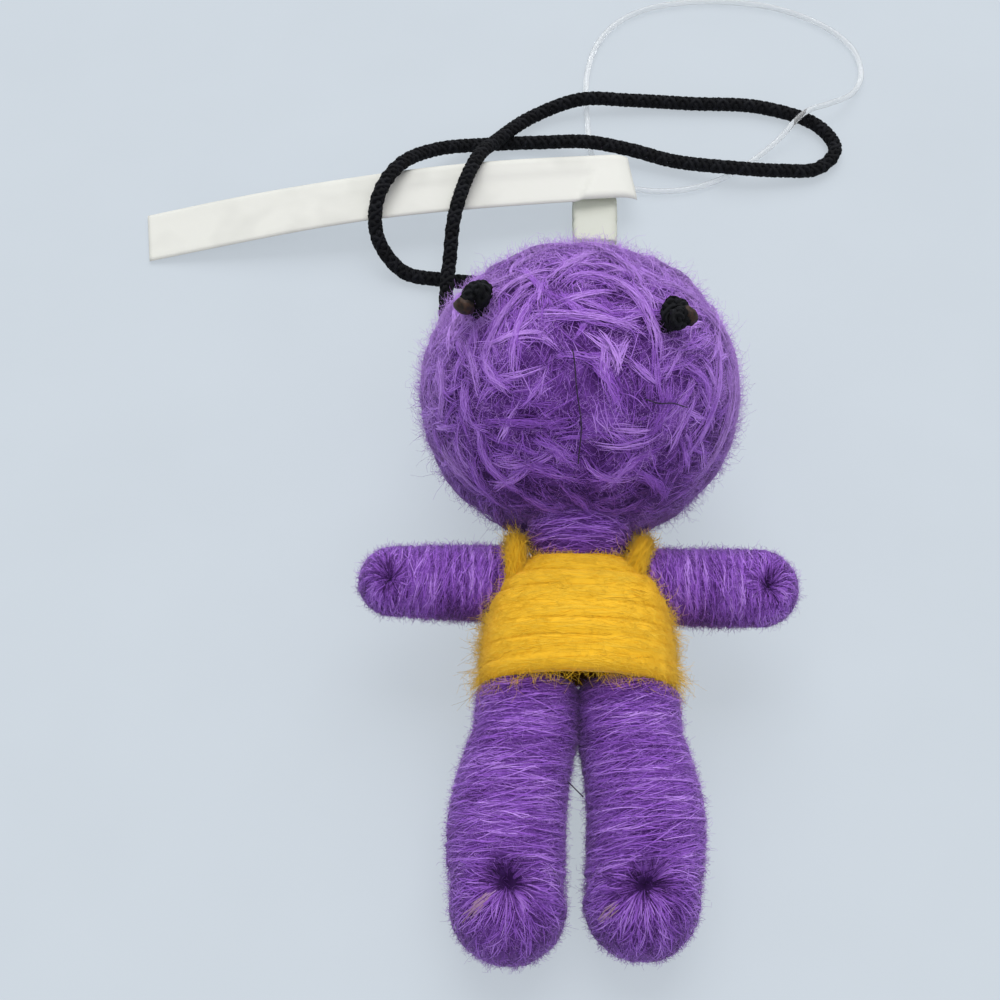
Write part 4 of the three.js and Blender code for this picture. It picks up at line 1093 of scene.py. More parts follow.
class DOLL_OT_head(bpy.types.Operator):
    """Wind the head: a lumpy ball, crossing yarn bundles, felted strands and a halo of hairs"""

    bl_idname = "doll.head"
    bl_label = "Head"

    def execute(self, context):
        doll = context.scene.yarn_doll
        fibres = doll.fibres
        rng = np.random.default_rng(fibres.seed)
        wool = purple_wool(doll.colours)
        ball = Ball((0.0, HEAD_RISE, 0.0), doll.sizes.head_half)
        tufts = Tufts(rng, waves=40, low=14, high=38)
        self.bundles(ball, tufts, fibres, rng, wool)
        for name, depth, tone, tufted in HEAD_FELT:
            plies = fibres.tuft_plies if tufted else 1
            self.felt(name, ball, tufts, depth, tone, plies, fibres, rng, wool)
        for name, length, rise, tone in HEAD_HAIRS:
            self.halo(name, ball, tufts, length * MM, rise, tone, fibres, rng, wool)
        return {"FINISHED"}

    def bundles(self, ball, tufts, fibres, rng, material):
        """The lumpy ball with its crossing yarn bundles"""
        yarn = WoolMesh()
        way = ball.rings(60, 96)
        lump = tufts.height(way)
        rings, _ = ball.wrap(way, (0.2 * lump - 0.75) * MM)
        # Painted shade: the skin under the bundles is dark, and darker in the hollows between the lumps
        yarn.skin(rings, np.clip(0.12 + 0.1 * lump, 0, 1))
        self.lay_bundles(yarn, ball, head_bundles(ball.size), fibres, rng)
        nape_rng = np.random.default_rng(fibres.seed + 20)
        self.lay_bundles(yarn, ball, seen_spots(NAPE_BUNDLES), fibres, nape_rng)
        head = yarn.build("head_wool", material)
        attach(head, "head")
        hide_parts("head_yarn", "head_core")

    def lay_bundles(self, yarn, ball, spots, fibres, rng):
        """Bundles of strands through three spots each, crowned along the middle and fanned out at the ends"""
        count = len(spots)
        which = np.repeat(np.arange(count), fibres.bundle_plies)
        total = len(which)
        place, taper = strand_spread(10)
        aside = rng.normal(0, 0.42 * MM, total)
        fan = 1 + 0.6 * np.abs(place) ** 3
        twist = 0.25 * MM * np.sin(4 * place + rng.uniform(0, TURN, (total, 1)))
        wave = rng.normal(0, 0.1 * MM, (total, 1)) * np.sin(7 * place + rng.uniform(0, TURN, (total, 1)))
        spread = place * rng.uniform(0.45, 1.0, (total, 1)) + rng.uniform(-0.35, 0.35, (total, 1))
        crown = 0.35 * MM * (np.exp(-(aside / (0.5 * MM)) ** 2) - 1)
        raised = np.where(np.arange(count) < len(SEEN_BUNDLES), 0.22, 0.0)
        height = (raised + rng.uniform(-0.2, 0.02, count))[which] * MM
        height = height + crown + rng.normal(0, 0.08 * MM, total)
        lift = height[:, None] - 0.45 * MM * np.abs(spread) ** 3
        path, outward = ball.through(spots[which], spread, aside[:, None] * fan + twist + wave, lift)
        thick = 0.9 * fibres.strand_radius * rng.uniform(0.6, 1.2, total)[:, None] * taper
        # Painted light and shade: bundles towards the head's top and sides are paler, and each bundle is
        # darker down its flanks where it sinks into the felt
        tone = (rng.normal(0.66, 0.1, count) + painted_light_and_neck_shade(spots[:, 1]))[which]
        tone = np.clip(tone + 0.8 * crown / MM + rng.normal(0, 0.1, total), 0, 1)[:, None]
        yarn.strands(path, outward, thick, tone, flat=STRAND_FLATNESS, soft=outward)

    def felt(self, name, ball, tufts, depth, tone, plies, fibres, rng, material):
        """A layer of felted strands, single or in tufts, the topmost with the stray dark threads"""
        felt = WoolMesh()
        tufted = fibres.head_strands // plies
        tuft = np.repeat(np.arange(tufted), plies)
        count = len(tuft)
        place, taper = strand_spread(5)
        way = spread_ways(rng, tufted)
        lump = tufts.height(way)[tuft]
        along = combed(rng, way, 0.5)[tuft]
        layer = rng.beta(2.0, 1.6, tufted)[tuft]
        half = rng.uniform(2.0, 4.4, tufted)[tuft] * MM
        stagger = rng.uniform(-0.5, 0.5, (count, 1))
        reach = half[:, None] * (rng.uniform(0.5, 0.9, (count, 1)) * place + stagger)
        off = rng.normal(0, 1, count)
        wave = rng.normal(0, 0.18 * MM, (count, 1)) * np.sin(2.5 * place + rng.uniform(0, TURN, (count, 1)))
        shift = 0.34 * MM * off[:, None] + wave
        sag = 0.07 * off ** 2
        lift = ((layer - 0.6) * 0.45 + 0.26 * lump - sag - depth)[:, None] * MM - 0.38 * MM * place ** 2
        bend = rng.normal(0, 1.0, tufted)[tuft]
        path, outward = ball.arcs(way[tuft], along, bend, reach, shift, lift)
        thick = fibres.strand_radius * rng.uniform(0.5, 1.1, count)[:, None] * taper
        # Painted light and shade: strands lower in the felt, in the hollows between the lumps and off the
        # middle of a tuft are darker, those on the lumps and towards the head's top and sides paler, and
        # those in the crease at the neck darker
        shade = tone + 0.3 * layer + 0.3 * lump - sag
        shade = shade + (rng.normal(0, 0.18, tufted) + painted_light_and_neck_shade(way))[tuft]
        shade = np.clip(shade + rng.normal(0, 0.12, count), 0, 1)
        felt.strands(path, outward, thick, shade[:, None], flat=STRAND_FLATNESS, soft=outward)
        if name == "head_tufts":
            place = np.linspace(-1, 1, 24)[None]
            for spots in seen_spots(STRAY_THREADS):
                wave = 0.12 * MM * np.sin(5 * place)
                path, outward = ball.through(spots[None], place, wave, 0.45 * MM + 0 * place)
                felt.strands(path, outward, STRAY_RADIUS, STRAY_TONE)
        made = felt.build(name, material)
        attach(made, "head")

    def halo(self, name, ball, tufts, length, rise, tone, fibres, rng, material):
        """A layer of loose hairs, the outermost with longer wisps round the left knot"""
        halo = WoolMesh()
        count = fibres.head_hairs
        way = spread_ways(rng, count)
        wisps = slice(0, KNOT_WISPS if name == "head_fringe" else 0)
        way[wisps] = unit(AXES @ unit(LEFT_KNOT) + 0.1 * way[wisps])
        start, outward = ball.wrap(way, (0.2 * tufts.height(way) - 0.4) * MM)
        along = turned(combed(rng, way, 0.9))
        # Painted light and shade: hairs towards the head's top and sides and on the lumps are paler, those in
        # the hollows and in the crease at the neck darker
        shade = np.clip(tone + painted_light_and_neck_shade(way) + 0.28 * tufts.height(way) + rng.normal(0, 0.16, count), 0, 1)
        reach, thick = rng.gamma(LENGTH_SHAPE, length, count), np.full((count, 1), 0.9 * fibres.hair_radius)
        reach[wisps] *= 1.7
        thick[wisps] *= 1.6
        hairs(halo, rng, start, outward, along, reach, rng.gamma(RISE_SHAPE, rise, count), thick, shade)
        made = halo.build(name, material)
        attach(made, "head")


# How far the neck roll stands out of the back, and its half sizes over its radius
NECK_OUT = 0.7 * MM
NECK_SHAPE = (1.2, 1.03, 1.16)


class DOLL_OT_neck(bpy.types.Operator):
    """Wind the neck roll between the head and the dress"""

    bl_idname = "doll.neck"
    bl_label = "Neck"

    def execute(self, context):
        doll = context.scene.yarn_doll
        fibres = doll.fibres
        rng = np.random.default_rng(fibres.seed + 1)
        ball = Ball((0.0, NECK_RISE, NECK_OUT), doll.sizes.neck_radius * np.array(NECK_SHAPE))
        yarn = WoolMesh()
        way = ball.rings(20, 36)
        rings, _ = ball.wrap(way, np.full(way.shape[:2], -0.4 * MM))
        yarn.skin(rings, 0.28)
        count = fibres.neck_strands
        place, taper = strand_spread(7)
        way = spread_ways(rng, count)
        along = turned_about(unit(np.cross([0.0, 1.0, 0.0], way)), way, rng.normal(0, 0.26, count))
        reach = rng.uniform(1.2, 3.6, count)[:, None] * MM * place
        layer = rng.beta(2.2, 1.6, count)
        rows = 0.09 * np.cos(TURN * way[:, 1] * ball.size / fibres.yarn_pitch)
        lift = ((layer - 0.9) * 0.5 + rows)[:, None] * MM - 0.15 * MM * place ** 2
        path, outward = ball.arcs(way, along, rng.normal(0, 0.15, count), reach, 0.0 * reach, lift)
        thick = fibres.strand_radius * rng.uniform(0.55, 1.15, count)[:, None] * taper
        # Painted light and shade: lower strands and the hollows between rows are darker, the row crests
        # paler, and the crease under the head is painted with shade
        crease = 1.6 * np.clip(way[:, 1] - 0.35, 0, 0.5)
        tone = np.clip(0.03 + 0.48 * layer + 1.8 * rows - crease + rng.normal(0, 0.2, count), 0, 1)[:, None]
        yarn.strands(path, outward, thick, tone, flat=STRAND_FLATNESS, soft=outward)
        made = yarn.build("neck_wool", purple_wool(doll.colours))
        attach(made, "neck")
        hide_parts("neck_yarn")
        return {"FINISHED"}


# The dress from its hem to the shoulders: shares of its height with half widths and half depths in
# millimetres, and how square its rings are
DRESS_WIDTHS = ((0, 0.36, 0.62, 0.80, 0.93, 1), (12.7, 12.4, 11.7, 10.4, 8.4, 7.0))
DRESS_DEPTHS = ((0, 0.36, 0.78, 1), (8.3, 8.5, 7.3, 5.9))
DRESS_SQUARENESS = ((0, 0.4, 0.8, 1), (0.78, 0.76, 0.70, 0.8))
# The inside of the hem, painted dark as shade, as shares of the hem's ring and heights in millimetres
DRESS_HOLLOW = ((0.5, 3.5), (0.8, 2.5), (0.93, 0.8))
# The layers of hairs on the dress, with the scale of the length in millimetres and the rise
DRESS_HAIRS = (("dress_fuzz", 0.13, 0.35), ("dress_halo", 0.25, 0.9))
# The straps, with their feet on the neckline in millimetres from the middle
STRAP_FEET = ((-1, "left", 8.4), (1, "right", 6.2))


class Dress:
    """The dress's skin: rounded-box rings that narrow towards the shoulders, with a crown for each band"""

    def __init__(self, height, bands):
        self.height, self.bands = height, bands
        self.lip = 1.5 * MM

    def wrap(self, y, angle, lift):
        """Points and normals round the dress at a height over its skin, drawn in at the hem"""
        share = np.clip(y / self.height, 0, 1)
        width, depth = (np.interp(share, *profile) * MM for profile in (DRESS_WIDTHS, DRESS_DEPTHS))
        square = np.interp(share, *DRESS_SQUARENESS)
        band = share * self.bands
        uneven = 0.55 + 0.45 * np.sin(2.3 * angle + 1.7 * np.round(band))
        crown = 0.3 * MM * uneven * (np.abs(np.sin(math.pi * band)) ** 0.35 - 1)
        rise = (0.5 + np.where(np.sin(angle) > 0, 1.0, 2.0) * np.sin(angle) ** 2) * (1 - share) * MM
        tuck = np.clip(1 - y / self.lip, 0, 1)
        drawn_in = self.lip * (1 - np.sqrt(1 - tuck ** 2))
        round_way = np.stack(np.broadcast_arrays(np.cos(angle), 0 * y, np.sin(angle)), -1)
        bowed = np.sign(round_way) * np.abs(round_way) ** square[..., None]
        size = np.stack(np.broadcast_arrays(width, 1 + 0 * y, depth), -1)
        outward = unit(np.sign(round_way) * np.abs(round_way) ** (2 - square[..., None]) / size)
        point = bowed * size + np.stack(np.broadcast_arrays(0 * angle, y + rise, 0 * angle), -1)
        tipped = unit(outward - 0.8 * (tuck ** 2)[..., None] * np.array([0.0, 1.0, 0.0]))
        return lying(point + (crown + lift - drawn_in)[..., None] * outward), turned(tipped)


class DOLL_OT_dress(bpy.types.Operator):
    """Wind the dress in soft bands, with a strap over each shoulder"""

    bl_idname = "doll.dress"
    bl_label = "Dress"

    def execute(self, context):
        doll = context.scene.yarn_doll
        sizes, fibres = doll.sizes, doll.fibres
        rng = np.random.default_rng(fibres.seed + 2)
        material = yellow_wool(doll.colours)
        dress = Dress(sizes.dress_height, sizes.dress_band_count)
        self.bands(dress, fibres, rng, material)
        for name, length, rise in DRESS_HAIRS:
            self.fuzz(name, dress, length * MM, rise, fibres, rng, material)
        for side, name, foot in STRAP_FEET:
            self.strap(side, name, foot * MM, sizes, fibres, rng, material)
        return {"FINISHED"}

    def bands(self, dress, fibres, rng, material):
        """The skin of the dress, hollow at the hem and painted dark as shade inside it and along the middle
        of the front hem, under strands laid along its bands
        """
        yarn = WoolMesh()
        y = np.linspace(0, dress.height, 8 * dress.bands + 1)
        angle = TURN * np.arange(88) / 88
        rings, _ = dress.wrap(y[:, None], angle[None], np.full((1, 1), -0.03 * MM))
        hollow = [rings[0].mean(0) + share * (rings[0] - rings[0].mean(0)) + rise * MM * ALONG
                  for share, rise in DRESS_HOLLOW]
        # Painted shade: the hollow inside the hem is dark
        inside = np.full((len(hollow), len(angle)), -0.4)
        outside = np.full(rings.shape[:2], 0.6)
        # Painted shade: the lowest rings at the middle of the front hem are dark
        outside[:4, np.sin(angle) < -0.75] = -0.25
        yarn.skin(np.concatenate([hollow, rings]), np.concatenate([inside, outside]))
        count = fibres.dress_strands
        place, taper = strand_spread(8)
        band_height = dress.height / dress.bands
        band = rng.integers(0, dress.bands, count)
        in_band = np.clip(rng.normal(0.5, 0.27, count), 0.03, 0.97)
        y0 = (band + in_band) * band_height
        reach = rng.uniform(0.12, 0.36, count)[:, None] * place
        angle = rng.uniform(0, TURN, count)[:, None] + reach
        y = y0[:, None] + rng.normal(0, 0.12, (count, 1)) * 11 * MM * reach
        y = y + rng.normal(0, 0.1 * MM, (count, 1)) * np.sin(3 * place)
        y = y + rng.normal(0, 0.13 * MM, (count, 1)) * np.sin(7 * place + rng.uniform(0, TURN, (count, 1)))
        layer = rng.beta(2.4, 1.5, count)
        loop = 0.025 * MM * np.sin(6 * place + rng.uniform(0, TURN, (count, 1)))
        lift = ((layer - 0.82) * 0.12 * MM)[:, None] - 0.08 * MM * place ** 2 + loop
        path, outward = dress.wrap(np.clip(y, 0, dress.height + 0.1 * MM), angle, lift)
        thick = fibres.strand_radius * rng.uniform(0.35, 0.85, count)[:, None] * taper
        # Painted shade: strands near the grooves between the bands and lower strands are darker, and a few
        # dark strands are painted shadows of hairs
        painted_groove_shade = np.abs(in_band - 0.5) ** 4
        painted_hair_shadows = 0.6 * (rng.uniform(0, 1, count) < 0.05)
        tone = 0.58 + 0.25 * layer - 7 * painted_groove_shade - painted_hair_shadows + rng.normal(0, 0.2, count)
        tone = np.clip(tone, -0.16, 1)[:, None]
        yarn.strands(path, outward, thick, tone, flat=0.7, soft=outward)
        made = yarn.build("dress_wool", material)
        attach(made, "torso")
        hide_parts("dress_winding", "dress_bodice", "torso_core")

    def fuzz(self, name, dress, length, rise, fibres, rng, material):
        """A layer of loose hairs, denser at the sides, that hang from the hem and rise at the top edge"""
        fuzz = WoolMesh()
        count = fibres.dress_hairs
        y = np.clip(rng.uniform(-0.12, 1.05, count), 0, 1) * dress.height
        angle = rng.uniform(0, TURN, count)
        beside = rng.uniform(0, 1, count) < 0.4
        angle[beside] = math.pi * rng.integers(0, 2, beside.sum()) + rng.normal(0, 0.4, beside.sum())
        start, outward = dress.wrap(y, angle, np.full(count, -0.15 * MM))
        along = unit(np.cross(outward, turned([0.0, 1.0, 0.0]))) * rng.choice([-1, 1], (count, 1))
        along = turned_about(along, outward, rng.normal(0, 0.8, count))
        edge = np.where(y < 0.16 * dress.height, -0.9, np.where(y == dress.height, 1.0, 0.0))
        along = unit(np.where(edge == 0, 1.0, 0.7)[:, None] * along + edge[:, None] * ALONG)
        tone = np.clip(rng.normal(0.8, 0.32, count), -0.05, 1)
        reach = rng.gamma(LENGTH_SHAPE, length, count) * np.where(edge > 0, 0.6, np.where(edge < 0, 1.5, 1.0))
        rise = rng.gamma(RISE_SHAPE, rise, count)
        hairs(fuzz, rng, start, outward, along, reach, rise, fibres.hair_radius, tone)
        made = fuzz.build(name, material)
        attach(made, "torso")

    def strap(self, side, name, foot, sizes, fibres, rng, material):
        """A strap from the neckline over the shoulder to the front, spun of strands round a core"""
        yarn = WoolMesh()
        half = np.array([(foot / MM, 12.4, 2.4), (0.0, 16.0, 4.2), (8.1, 18.9, 3.0), (8.3, 19.7, 0.0)]) * MM
        half[1, 0] = 0.5 * (foot + half[2, 0])
        points = np.concatenate([half, half[-2::-1] * [1, 1, -1]]) * [side, 1, 1]
        spine = smooth_route(points, 0.4 * MM)
        normal, aside = carried_normals(spine)
        count = fibres.strap_strands
        place, taper = strand_spread(7)
        middle = rng.uniform(0, 1, count)[:, None] + rng.uniform(0.06, 0.16, (count, 1)) * place
        spot = np.clip(middle, 0, 1) * (len(spine) - 1)
        low = np.minimum(spot.astype(int), len(spine) - 2)
        part = (spot - low)[..., None]

        def along(values):
            """Values of the spine at each strand's stations"""
            return values[low] * (1 - part) + values[low + 1] * part

        angle = rng.uniform(0, TURN, (count, 1)) + rng.normal(0.5, 0.4, (count, 1)) * place
        radius = 0.4 * sizes.strap_diameter * np.sqrt(rng.uniform(0.3, 1, (count, 1)))
        radius = radius * (1 + 0.5 * rng.beta(1, 3, (count, 1)))
        splay = 1 + 0.25 * np.abs(2 * np.clip(middle, 0, 1) - 1) ** 4
        out = np.cos(angle)[..., None] * along(normal) + np.sin(angle)[..., None] * along(aside)
        path = along(spine) + (radius * splay)[..., None] * out
        thick = fibres.strand_radius * rng.uniform(0.4, 0.95, count)[:, None] * taper
        tone = np.clip(rng.normal(0.52, 0.16, count), 0, 1)[:, None]
        yarn.strands(lying(path), turned(out), thick, tone, soft=turned(out))
        count = 3 * count // 2
        spot = rng.integers(0, len(spine), count)
        angle = rng.uniform(0, TURN, (count, 1))
        out = turned(np.cos(angle) * normal[spot] + np.sin(angle) * aside[spot])
        start = lying(spine[spot]) + 0.36 * sizes.strap_diameter * out
        run = turned(unit(np.gradient(spine, axis=0))[spot]) * rng.choice([-1, 1], (count, 1))
        tone = np.clip(rng.normal(0.7, 0.15, count), 0, 1)
        length, rise = rng.gamma(LENGTH_SHAPE, 0.25 * MM, count), rng.gamma(RISE_SHAPE, 0.6, count)
        hairs(yarn, rng, start, out, run, length, rise, 1.3 * fibres.hair_radius, tone)
        core = spine[2:-2]
        normal, _ = carried_normals(core)
        yarn.strands(lying(core)[None], turned(normal)[None], 0.33 * sizes.strap_diameter, 0.45, sides=10)
        made = yarn.build(f"strap_wool_{name}", material)
        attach(made, "torso")
        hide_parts(f"strap_{name}")


class DOLL_OT_arms(bpy.types.Operator):
    """Wind both arms from the shoulders to the dimpled hands"""

    bl_idname = "doll.arms"
    bl_label = "Arms"

    def execute(self, context):
        doll = context.scene.yarn_doll
        sizes, fibres = doll.sizes, doll.fibres
        for side, name, hand in ((-1, "left", 0.9), (1, "right", 1.0)):
            rng = np.random.default_rng(fibres.seed + 5 + side)
            shoulder = AXES @ (np.array(JOINTS[f"shoulder_{name}"]["pos_m"]) - HEM)
            limb = Limb(
                origin=shoulder, along=np.array([side, 0, 0]), across=np.array([0, 1, 0]),
                root=sizes.arm_radius, root_reach=sizes.arm_radius, tip=hand * sizes.arm_radius,
                flatness=sizes.arm_flatness, length=sizes.arm_length, dimple_at=11.5 * MM,
                dimple_radius=1.7 * MM, bulge=0.1 * MM, bow=0.0, lean=0.0, crease_at=(3 * MM, math.pi),
                crease_size=5 * MM,
            )
            made = wound_limb(f"arm_wool_{name}", limb, fibres.arm_strands, (), (), fibres, doll.colours, rng)
            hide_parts(f"arm_core_{name}", f"arm_winding_{name}", f"hand_{name}")
            count = fibres.limb_hairs // 2
            fuzz = [
                limb_fuzz(f"arm_{kind}_{name}", limb, count, *hair, fibres, doll.colours, rng)
                for kind, *hair in LIMB_HAIRS
            ]
            for piece in (made, *fuzz):
                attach(piece, f"arm_{name}")
        return {"FINISHED"}


# The bald patches on the feet and the dark threads that stand off the legs
BALD_PATCHES = {
    "left": ({"angle": -0.87, "tilt": 0.56, "spread": 0.13, "tone": 1.38, "strands": 44},),
    "right": ({"angle": -0.95, "tilt": 0.85, "spread": 0.1, "tone": 1.35, "strands": 12},),
}
LEG_THREADS = {
    "left": ({"start": 6.0 * MM, "run": 1.9 * MM, "angle": 0.35, "stand": 2.3 * MM},),
    "right": (),
}


class DOLL_OT_legs(bpy.types.Operator):
    """Wind both legs from the hips to the dimpled feet, with the padding showing through in places"""

    bl_idname = "doll.legs"
    bl_label = "Legs"

    def execute(self, context):
        doll = context.scene.yarn_doll
        sizes, fibres = doll.sizes, doll.fibres
        for side, name, splay, bow in ((-1, "left", 3.9, 1.05), (1, "right", 2.8, 1.1)):
            rng = np.random.default_rng(fibres.seed + 8 + side)
            hip = AXES @ (np.array(JOINTS[f"hip_{name}"]["pos_m"]) - HEM)
            splay = math.radians(splay)
            limb = Limb(
                origin=hip, along=np.array([side * math.sin(splay), -math.cos(splay), 0]),
                across=np.array([math.cos(splay), side * math.sin(splay), 0]),
                root=1.08 * sizes.leg_root_radius, root_reach=1.24 * sizes.leg_root_radius,
                tip=1.02 * sizes.foot_radius, flatness=1.0,
                length=sizes.leg_length + (0.15 - 0.45 * side) * MM, dimple_at=18.9 * MM,
                dimple_radius=2.2 * MM, bulge=0.45 * MM, bow=bow * side * MM, lean=0.4 * side * MM,
                crease_at=(-3 * MM, 0.0 if side < 0 else math.pi), crease_size=4.5 * MM,
            )
            made = wound_limb(
                f"leg_wool_{name}", limb, fibres.leg_strands, BALD_PATCHES[name], LEG_THREADS[name], fibres,
                doll.colours, rng,
            )
            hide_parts(f"leg_core_{name}", f"leg_winding_{name}", f"foot_{name}")
            fuzz = [
                limb_fuzz(f"leg_{kind}_{name}", limb, fibres.limb_hairs, *hair, fibres, doll.colours, rng)
                for kind, *hair in LIMB_HAIRS
            ]
            for piece in (made, *fuzz):
                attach(piece, f"leg_{name}")
        return {"FINISHED"}


def head_spot(aim, half):
    """Where a direction of the lying head meets its skin, as a doll point, and that direction"""
    way = unit(AXES @ np.array(aim))
    return np.array([0, HEAD_RISE, 0]) + way / np.linalg.norm(way / half), way


def cord_end(knot_aim, exit_aim, sizes):
    """One cord end in the frame: the knot's middle, under it, out of the head, the free start, and its way"""
    half = np.array(sizes.head_half)
    knot, way = head_spot(knot_aim, half)
    leave, _ = head_spot(exit_aim, half)
    centre = knot + way * (KNOT_RADIUS + SEAT_GAP)
    under = knot - way * CHANNEL_DEPTH
    along = unit(leave - under)
    outside = leave + along * sizes.cord_diameter
    return lying(centre), lying(under), lying(outside), lying(outside + along * SEAT_GAP), turned(way)


# The bends of each knot in millimetres from its middle: picture right, picture up and height over the head
LEFT_BENDS = [
    (0.6, 0.2, -4.5), (1.0, 0.4, -2.4), (2.2, 0.3, -1.3), (2.4, 1.3, -1.1), (1.3, 1.7, -1.0),
    (0.4, 0.9, -0.9), (0.9, -0.2, -0.7), (2.1, -0.1, -0.3), (2.1, 0.9, 0.3), (1.0, 0.9, 0.7),
    (0.3, -0.1, 0.8), (-0.15, -1.1, 0.7),
]
RIGHT_BENDS = [
    (-0.2, -0.3, -4.5), (-0.5, -0.5, -2.4), (-1.2, -1.1, -1.3), (-1.5, 0.0, -1.0), (-0.9, 1.3, -0.9),
    (0.1, 0.9, -0.5), (-0.1, -0.2, 0.1), (-1.1, -0.9, 0.2), (-0.4, -1.2, -0.4), (0.3, -0.8, -0.2),
    (0.9, -0.2, 0.0),
]

# Knots are pulled tight: the braid is thinner and wound closer in them
KNOT_THICKNESS = 0.92
KNOT_PITCH = 4.2 * MM

# The outline of a melted tip along the cord: place and width over the cord's radius
TIP_PROFILE = ((-0.9, 0.5), (-0.7, 0.9), (-0.3, 1.18), (0.15, 1.2), (0.5, 1.02), (0.74, 0.7), (0.84, 0.3))


def knot_line(centre, way, bends):
    """The line of a tight knot on its spot on the head"""
    right, up, near = from_sight(np.eye(3)) @ AXES
    bends = np.asarray(bends) * MM
    flat = bends[:, :1] * right + bends[:, 1:2] * up
    return centre + flat + ((bends[:, 2] - flat @ way) / (near @ way))[:, None] * near


class DOLL_OT_knots(bpy.types.Operator):
    """Tie the two knotted cord ends on the back of the head, with their melted tips"""

    bl_idname = "doll.knots"
    bl_label = "Knots"

    def execute(self, context):
        doll = context.scene.yarn_doll
        sizes = doll.sizes
        radius = 0.5 * sizes.cord_diameter
        tip_material = melted_tip(doll.colours)
        ends = (
            ("left", LEFT_KNOT, LEFT_EXIT, LEFT_BENDS), ("right", RIGHT_KNOT, RIGHT_EXIT, RIGHT_BENDS),
        )
        for name, knot_aim, exit_aim, bends in ends:
            centre, under, outside, _, way = cord_end(knot_aim, exit_aim, sizes)
            yarn = WoolMesh()
            line = smooth_route(knot_line(centre, way, bends), 0.2 * MM)
            add_braid(yarn, line, KNOT_THICKNESS * radius, KNOT_PITCH)
            tail = smooth_route([centre - 1.5 * MM * way, under, outside], 0.3 * MM)
            add_braid(yarn, tail, radius, BRAID_PITCH)
            made = yarn.build(f"cord_knot_{name}", black_braid(doll.colours))
            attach(made, "head")
            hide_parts(f"cord_end_{name}")
            self.tip(name, line, radius, tip_material)
        return {"FINISHED"}

    def tip(self, name, line, radius, material):
        """The ragged blob that a cord end was melted into"""
        wool = WoolMesh()
        run = unit(line[-1] - line[-6])
        normal = unit(np.cross(run, [0.3, 0.5, 0.8]))
        aside = np.cross(run, normal)
        angle = TURN * np.arange(28) / 28
        rings = []
        for ahead, swell in TIP_PROFILE:
            ragged = swell * (1 + 0.07 * np.sin(3 * angle + 5 * ahead) + 0.04 * np.sin(7 * angle + 2))
            ring = ragged[:, None] * (np.cos(angle)[:, None] * normal + np.sin(angle)[:, None] * aside)
            rings.append(line[-1] + radius * (ahead * run + ring))
        wool.skin(np.array(rings), 0.5)
        made = wool.build(f"melted_tip_{name}", material)
        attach(made, "head")


class DOLL_OT_hanging_cord(bpy.types.Operator):
    """Braid the free loop of the hanging cord along its route on the table"""

    bl_idname = "doll.hanging_cord"
    bl_label = "Hanging cord"

    def execute(self, context):
        doll = context.scene.yarn_doll
        sizes = doll.sizes
        start = cord_end(LEFT_KNOT, LEFT_EXIT, sizes)[3]
        end = cord_end(RIGHT_KNOT, RIGHT_EXIT, sizes)[3]
        path = smooth_route([start, *on_table(CORD_ROUTE), end], 0.28 * MM)
        braid = WoolMesh()
        add_braid(braid, path, 0.5 * sizes.cord_diameter, BRAID_PITCH)
        made = braid.build("hanging_braid", black_braid(doll.colours))
        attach(made, "head")
        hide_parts("hanging_cord")
        return {"FINISHED"}


